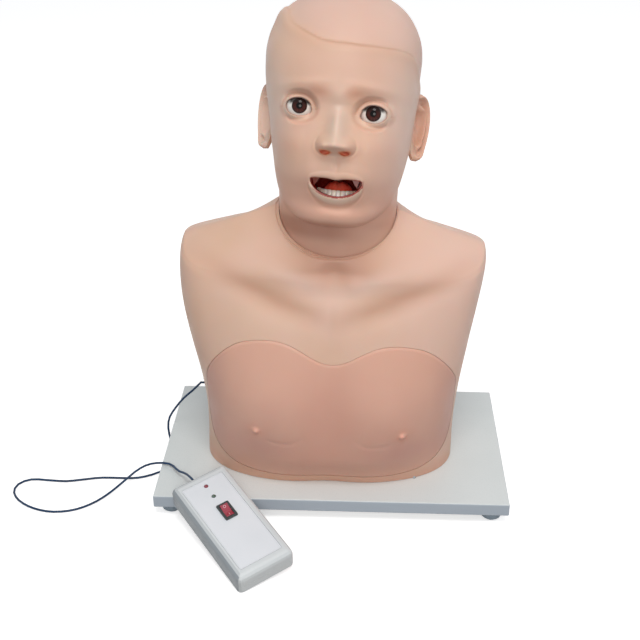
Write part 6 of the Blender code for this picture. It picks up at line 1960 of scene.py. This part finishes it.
@dataclass
class Throat:
    """The wet lining of the mouth, the tongue and the teeth.

    A row is a ring on the midline in mm: y, z, half-width and half-height.
    """

    places: Places
    head: Head
    repeater: Repeater
    rows: Table = (
        (-90, -92, 31, 17), (-76, -91, 30, 17.5), (-64, -90, 30, 18), (-48, -87, 27, 18), (-32, -88, 24, 17),
        (-19, -97, 20, 14), (-11, -112, 17, 12), (-4, -130, 15.5, 11), (5, -150, 14.5, 10.5),
        (11.5, -161, 14.8, 14),
    )
    tongue_rows: Table = (
        (-57, -104, 6, 5.5), (-52, -102.5, 11, 8.5), (-44, -100, 14.5, 11), (-34, -100, 15, 11.2),
        (-26, -105, 13, 9),
    )
    last_row: int = 8
    wall: float = 0.0022
    lower_widths: tuple[float, ...] = (5.4, 5.9, 6.8, 7.0, 7.1, 10.0)
    upper_widths: tuple[float, ...] = (8.2, 6.6, 7.4, 6.9, 6.7, 8.0)
    # Oiled: a wet red that glints wherever it turns to the light
    mucosa: Finish = PaintedVinyl(
        "silicone lining of mouth and throat, cast and oiled, so wet and red", "#F04A38", "#D83E2E",
        drift=12, roughness=0.25, roughness_spread=0.08, grain=2.2, relief=0.10, settings=WET)
    # Pitted: the wet shine breaks up into small dots
    muscle: Finish = PaintedVinyl(
        "silicone tongue, cast in a pitted mould, so it glistens in small dots", "#FF5F48", "#F8523C",
        drift=9, roughness=0.30, roughness_spread=0.08, grain=1.1, relief=0.16, settings=WET)
    # Polished: warm white crowns, each with its own small highlight
    enamel: Finish = Finish(
        "dental acrylic of the teeth, polished, warm white", "#FFF8EC", "#F4E9D6",
        drift=6, roughness=0.16, roughness_spread=0.04, grain=2.0, relief=0.015,
        settings=(("IOR", 1.54), ("Subsurface Weight", 0.2), ("Subsurface Scale", 0.002)))
    # Oiled: a moist pink with soft highlights
    gum: Finish = Finish(
        "silicone gum, cast and oiled", "#D67A6A", "#C86A5C",
        drift=8, roughness=0.28, roughness_spread=0.06, grain=1.8, relief=0.06, settings=WET)

    def tube(self, rows: Table, grow: float, end: float, around: int, count: int) -> Array:
        """Rings along a bent tube in the midline plane.

        Args:
            rows: its rings in mm: y, z, half-width and half-height.
            grow: how far it is widened.
            end: the row that it ends at.
            around: points round each ring.
            count: its number of rings.

        Returns:
            The points, rings by angles by xyz.
        """
        knots = np.asarray(rows, float) * MM
        positions = np.linspace(0, end, count)
        path = catmull_rom(knots, positions)
        run = (catmull_rom(knots, positions + 0.01) - catmull_rom(knots, positions - 0.01))[:, :2]
        run /= np.linalg.norm(run, axis=1)[:, None]
        angles = turn_angles(around)
        x = (path[:, 2] + grow)[:, None] * np.sin(angles)[None]
        lift = (path[:, 3] + grow)[:, None] * np.cos(angles)[None]
        y = path[:, 0][:, None] - run[:, 1][:, None] * lift
        z = path[:, 1][:, None] + run[:, 0][:, None] * lift
        return np.stack([x, y, z], axis=2)

    def build(self) -> None:
        """Makes the lining, the tongue and both arches of teeth, and dresses what lies deeper."""
        self.lining()
        self.tongue()
        lower = self.arch("crowns_lower", 0.0232, 0.029, -0.0685, -0.1003, self.lower_widths, 0.0090, -1)
        upper = self.arch("crowns_upper", 0.0228, 0.029, -0.0725, -0.0752, self.upper_widths, 0.0085, 1)
        jaws = ((lower, -0.1056, -0.0685, "lower_teeth"), (upper, -0.0698, -0.0725, "upper_teeth"))
        for arch, height, y, node in jaws:
            self.add_gum(arch, y, height)
            moved(arch.data, self.places.face)
            finished(arch, Body.HEAD, None, node)
        dress(self.gum, "soft_palate", "throat_sensor")
        # Dip moulded: an even, satin flesh tone
        cartilage = Finish(
            "flexible vinyl of the larynx and its tubes, dip moulded", "#D8B19A", "#CFA58E",
            drift=14, roughness=0.4)
        dress(cartilage, "larynx", "windpipe", "gullet")

    def lining(self) -> None:
        """The tube of mouth and pharynx, cut off behind the lips."""
        face = self.places.face
        limit = moved(block("lips_block", (0.090, 0.080, 0.060), (0, -0.095, -0.095)), face)
        limit = carve("lips_limit", limit, [(Cut.TAKE, self.head.hollow("mouth_front", GAP))])
        bore = self.tube(self.rows, 0.0, self.last_row + 0.5, 84, 90)
        bore[0, :, 1] -= OVERCUT
        sensor = Matrix.Translation((0, -0.0085, -0.0878)) @ spin(-48.8, "X")
        tools = (
            (Cut.TAKE, moved(loft("throat_bore", bore), face)),
            (Cut.TAKE, limit.data.copy()),
            (Cut.TAKE, moved(cylinder("sensor_hole", 0.0053, -0.006, 0.008, 40), face @ sensor)),
        )
        bpy.data.objects.remove(limit, do_unlink=True)
        outer = loft("wet_throat_lining", self.tube(self.rows, self.wall, self.last_row, 84, 90))
        lining = carve("wet_throat_lining", moved(outer, face), tools)
        x, y, _ = points_of(lining, face).T
        paint = Paint(len(x))
        # painted shade: the lining darker deeper in the throat
        paint.spray("#7A1712", 0.80 * step(y, -0.045, -0.020))
        paint.spray("#B4543A", 0.50 * step(x, 0.012, 0.027))
        paint.lay_on(lining.data)
        finished(lining, Body.HEAD, self.mucosa, "throat_lining")

    def tongue(self) -> None:
        """The tongue, with a groove along its middle."""
        points = self.tube(self.tongue_rows, 0.0, len(self.tongue_rows) - 1, 72, 60)
        groove = 0.0012 * bell(points[..., 0], 0.0020) * (np.cos(turn_angles(72)) > 0)[None]
        points[..., 2] -= groove
        points[..., 0] += self.head.mouth[0]
        tongue = new_object("cast_tongue", moved(loft("cast_tongue", points), self.places.face))
        x, y, _ = points_of(tongue, self.places.face).T
        paint = Paint(len(x))
        paint.spray("#FF8468", 0.5 * bump(x, y, self.head.mouth[0], -0.050, 0.012, 0.010))
        paint.spray("#B8352C", 0.6 * step(y, -0.038, -0.026))
        paint.lay_on(tongue.data)
        finished(tongue, Body.HEAD, self.muscle, "tongue")

    def arch(self, name: str, half: float, depth: float, front: float, height: float,
             widths: tuple[float, ...], tall: float, bite: int) -> Object:
        """Sets the crowns of one jaw along its arch.

        Args:
            name: the object's name.
            half: the arch's half-width.
            depth: how far it runs back.
            front: the y of its front.
            height: the z of the crowns' middles.
            widths: the crowns' widths in mm, from the middle outwards.
            tall: the crowns' height.
            bite: 1 where the roots are above, -1 where they are below.

        Returns:
            The crowns as one object.
        """
        fine = np.linspace(0, math.pi / 2, 400)
        run = np.hypot(np.diff(half * np.sin(fine)), np.diff(depth * np.cos(fine)))
        run = np.concatenate([[0], np.cumsum(run)])
        middles = (np.cumsum(widths) - np.array(widths) / 2) * MM
        places = []
        for side in (-1, 1):
            for middle, width in zip(middles * run[-1] / (sum(widths) * MM), widths):
                t = side * float(np.interp(middle, run, fine))
                normal = Vector((depth * math.sin(t), -half * math.cos(t), 0)).normalized()
                point = Vector((self.head.mouth[0] + half * math.sin(t), front + depth * (1 - math.cos(t)),
                                height))
                turn = math.atan2(depth * math.sin(t), half * math.cos(t))
                thick = 0.0052 if width < 6.95 else 0.0075
                flip = 0.0 if bite < 0 else math.pi
                size = Vector((width * MM * 0.99, thick, tall))
                places.append((point - normal * thick / 2, Vector((0, flip, turn)), size))
        return self.repeater.build(name, self.crown(), places, self.enamel, 0.03, 5)

    @staticmethod
    def crown() -> Mesh:
        """One crown, 1 by 1 by 1: a rounded block, narrower at its neck and thinner at its biting edge.

        Returns:
            The mesh.
        """
        fall = np.linspace(0, math.pi, 14)[1:-1, None]
        turn = (np.arange(20) * 2 * math.pi / 20)[None]
        ring, up = np.abs(np.sin(fall)) ** 0.45, np.sign(np.cos(fall)) * np.abs(np.cos(fall)) ** 0.6
        x = ring * np.sign(np.cos(turn)) * np.abs(np.cos(turn)) ** 0.62
        y = ring * np.sign(np.sin(turn)) * np.abs(np.sin(turn)) ** 0.80
        x = x * (0.90 + 0.10 * up)
        y = y * (0.82 - 0.26 * up)
        points = np.stack([x / 2, y / 2, up / 2 + 0 * turn], axis=2)
        return loft("crown", points, (0, 0, 0.5), (0, 0, -0.5))

    def add_gum(self, arch: Object, front: float, height: float) -> None:
        """Joins a rounded gum to an arch of crowns, with its own material.

        Args:
            arch: the crowns, whose mesh takes the gum.
            front: the y of the arch's front.
            height: the height of the gum's middle.
        """
        t = np.linspace(-math.pi / 2, math.pi / 2, 70)[:, None]
        phi = turn_angles(24)[None]
        half, depth = 0.0225, 0.028
        out = 0.0042 * np.cos(phi) - 0.0022
        x = self.head.mouth[0] + (half + out) * np.sin(t)
        y = front + depth - (depth + out) * np.cos(t)
        z = height + 0.0030 * np.sin(phi) + 0 * t
        ridge = loft("gum", np.stack([x, y, z], axis=2))
        ridge.polygons.foreach_set("material_index", np.ones(len(ridge.polygons), np.int32))
        bm = bmesh.new()
        for mesh in (arch.data, ridge):
            bm.from_mesh(mesh)
        bm.to_mesh(arch.data)
        bm.free()
        arch.data.materials.append(self.gum.material())
        bpy.data.meshes.remove(ridge)


# Board, feet and bearing


@dataclass
class Stand:
    """The laminated board on its ribbed rubber feet, and the neck's bearing."""

    places: Places
    repeater: Repeater
    half: tuple[float, float] = (0.182, 0.102)
    foot_radius: float = 0.0124
    ribs: int = 36
    # Pressed: pale and flat, finely speckled, with a low satin shine
    laminate: Finish = Laminate(
        "melamine laminate of the board, pressed against a fine pearl plate", "#DEE5E6", "#D9E1E2",
        drift=90, roughness=0.42, roughness_spread=0.05, grain=1.4, relief=0.010)
    # Moulded and dusty: a grey blue without a highlight
    rubber: Finish = Finish(
        "moulded rubber of the feet, matt and a little dusty", "#94A4B2", "#A0AFBB",
        drift=7, roughness=0.75, roughness_spread=0.08, grain=1.0, relief=0.03)
    # Turned and plated: a bright, slightly blurred metal shine
    steel: Finish = Finish(
        "zinc plated steel, turned, bright with fine streaks", "#BFC3C8", "#AEB3B8",
        drift=3, roughness=0.32, roughness_spread=0.08, grain=1.0, relief=0.01, settings=(("Metallic", 1.0),))

    def build(self) -> None:
        """Dresses the board and feet, adds the feet's grip ribs, and dresses the bearing."""
        ends = [f"{end}_{side}" for end in ("front", "rear") for side in ("left", "right")]
        dress(self.laminate, "base_board")
        dress(self.rubber, *(f"foot_{end}" for end in ends))
        dress(self.steel, *(f"foot_screw_{end}" for end in ends), *(f"bust_screw_{end}" for end in ends))
        dress(self.steel, "pivot_bolt", "pivot_washer", "pivot_nut", "box_screw_front", "box_screw_rear")
        # Turned: black with a satin shine
        dress(Finish(
            "black acetal of the neck's cup, turned", "#1B1E21", "#24282B",
            drift=8, roughness=0.45), "neck_socket")
        # Turned: a milky white with a satin shine
        dress(Finish(
            "natural nylon of the neck's plug, turned", "#CBCCC6", "#C2C3BC",
            drift=9, roughness=0.5), "neck_plug")
        places = []
        for x in (-1, 1):
            for y in (-1, 1):
                for turn in np.arange(self.ribs) * 2 * math.pi / self.ribs:
                    at = Vector((x * self.half[0] + self.foot_radius * math.cos(turn),
                                 y * self.half[1] + self.foot_radius * math.sin(turn), 0.0102))
                    places.append((self.places.ground @ at, Vector((0, 0, turn)),
                            Vector((0.0007, 0.0011, 0.0056))))
        rib = ball("grip_rib", (0.5, 0.5, 0.5), 5, 8)
        ribs = self.repeater.build("foot_grip_ribs", rib, places, self.rubber, 0.05, 3)
        finished(ribs, Body.BASE, None)


# Control box


@dataclass
class ControlBox:
    """The grey control box: its shells, bare label, lamps, rocker switch, contents and lead ends."""

    places: Places
    repeater: Repeater
    lead: Lead
    rocker_rise: float = 0.0008
    rocker_dish: float = 0.0016
    rocker_half: float = 0.008
    mark_shapes: Table = (     # y, half-width, half-length, and the hole as a share
        (-0.0052, 0.00035, 0.0016, 0.02),
        (0.0052, 0.0016, 0.0016, 0.6875),
    )
    ring_reach: float = 0.0037
    ring_thick: float = 0.00045
    ring_places: tuple[float, ...] = (0.0040, 0.0053, 0.0066)

    def build(self) -> None:
        """Dresses the box's solids, and adds the switch's marks and the gland's rings."""
        # Spark eroded mould: a pale grey with a fine matt sparkle
        case = EdgedPlastic(
            "ABS of the case, spark eroded mould, so a fine matt sparkle", "#D3DADD", "#CDD4D8",
            drift=40, roughness=0.46, roughness_spread=0.05, grain=1.0, relief=0.02,
            settings=(("IOR", 1.53),), place=self.places.box)
        dress(case, "box_upper_shell", "box_lower_shell", "battery_door")
        # Printed on its back: a flat, even, slightly blue white
        label = PanelLabel(
            "polyester of the panel label, printed on its back, so flat and even", "#E2E7ED", "#DCE2E8",
            drift=60, roughness=0.36, roughness_spread=0.04, grain=3.0, relief=0.004, place=self.places.box)
        dress(label, "panel_label")
        # Moulded: nearly black and matt
        dress(Finish(
            "glass filled nylon of the switch frame, moulded", "#343D3E", "#2B3233",
            drift=6, roughness=0.42), "switch_frame")
        # Clear coated: a deep red with a sharp streak of light
        rocker = Finish(
            "clear-coated polycarbonate of the rocker, moulded, glossy red", "#A01C3A", "#921733",
            drift=8, roughness=0.16, roughness_spread=0.03, grain=2.0, relief=0.004,
            settings=(("Coat Weight", 0.6), ("Coat Roughness", 0.05), ("IOR", 1.58)))
        dress(rocker, "switch_rocker")
        lens = (("Coat Weight", 1.0), ("IOR", 1.56), ("Subsurface Weight", 0.3), ("Subsurface Scale", 0.001))
        # Cast: a small dark red dome with a bright point
        dress(Finish(
            "tinted epoxy of the red lamp, cast", "#8C1D38", "#7A1830",
            drift=2, roughness=0.10, roughness_spread=0.02, grain=1, relief=0.002, settings=lens), "red_lamp")
        # Cast: a small dark green dome with a bright point
        dress(Finish(
            "tinted epoxy of the green lamp, cast", "#3E5B4E", "#355045",
            drift=2, roughness=0.10, roughness_spread=0.02, grain=1, relief=0.002,
            settings=lens), "green_lamp")
        # Solder masked: an even satin green
        dress(Finish(
            "glass epoxy laminate of the circuit, solder masked", "#2E6B45", "#29603E",
            drift=5, roughness=0.3), "circuit_board")
        # Printed plain: a dull blue wrap
        dress(Finish(
            "foil sleeve of the cell, printed plain", "#3A4B6C", "#33435F",
            drift=9, roughness=0.3), "battery")
        # Moulded: black with a soft sheen
        black = Finish("black nylon, moulded", "#1D2023", "#25292D", drift=5, roughness=0.45)
        dress(black, "buzzer", "cable_gland", "cable_bush")
        self.marks()
        self.rings(black)

    def marks(self) -> None:
        """The I and O of an on and off switch, printed on the rocker."""
        # Pad printed: flat pale marks on the red
        ink = Finish("pad printing ink of the switch's marks", "#E7B3BC", "#DDA7B1", drift=3, roughness=0.4)
        turn = turn_angles(40)
        bm = bmesh.new()
        for middle, half_x, half_y, hole in self.mark_shapes:
            rise = self.rocker_rise + self.rocker_dish * (middle / self.rocker_half) ** 2
            slope = 2 * self.rocker_dish * middle / self.rocker_half**2
            loops = []
            for out, high in ((1.0, 0.00005), (1.0, 0.0003), (hole, 0.0003), (hole, 0.00005)):
                x, y = half_x * out * np.cos(turn), middle + half_y * out * np.sin(turn)
                loops.append(np.stack([x, y, rise + slope * (y - middle) + high], axis=1))
            mark = looped("mark", np.stack(loops))
            bm.from_mesh(mark)
            bpy.data.meshes.remove(mark)
        marks = bpy.data.meshes.new("rocker_marks")
        bm.to_mesh(marks)
        bm.free()
        finished(new_object("rocker_marks", moved(marks, self.places.rocker)), Body.ROCKER, ink)

    def rings(self, finish: Finish) -> None:
        """The rings of the gland's bending sleeve.

        Args:
            finish: the gland's finish.
        """
        turn, phi = turn_angles(40)[:, None], turn_angles(12)[None]
        reach = self.ring_reach + self.ring_thick * np.cos(phi)
        points = np.stack([reach * np.cos(turn), reach * np.sin(turn),
                           self.ring_thick * np.sin(phi) + 0 * turn], axis=2)
        ring = looped("sleeve_ring", points)
        gland = self.lead.gland()
        turned = Vector(gland.to_euler())
        places = [(gland @ Vector((0, 0, out)), turned, Vector((1, 1, 1))) for out in self.ring_places]
        finished(self.repeater.build("gland_sleeve_rings", ring, places, finish), Body.BASE, None)


def main() -> None:
    """Builds the studio, then every sub-assembly in its order."""
    logging.basicConfig(level=logging.INFO, format="%(name)s %(message)s")
    places = Places.from_board()
    Studio().build(places.ground)
    lead = Lead(places)
    lead.build()
    torso = Torso(places)
    cover = ChestCover(places, torso)
    torso.build(cover, lead)
    cover.build()
    head = Head(places)
    head.build()
    Eyes(places, head).build()
    repeater = Repeater(repeat_tree())
    Throat(places, head, repeater).build()
    Stand(places, repeater).build()
    ControlBox(places, repeater, lead).build()


if __name__ == "__main__":
    main()
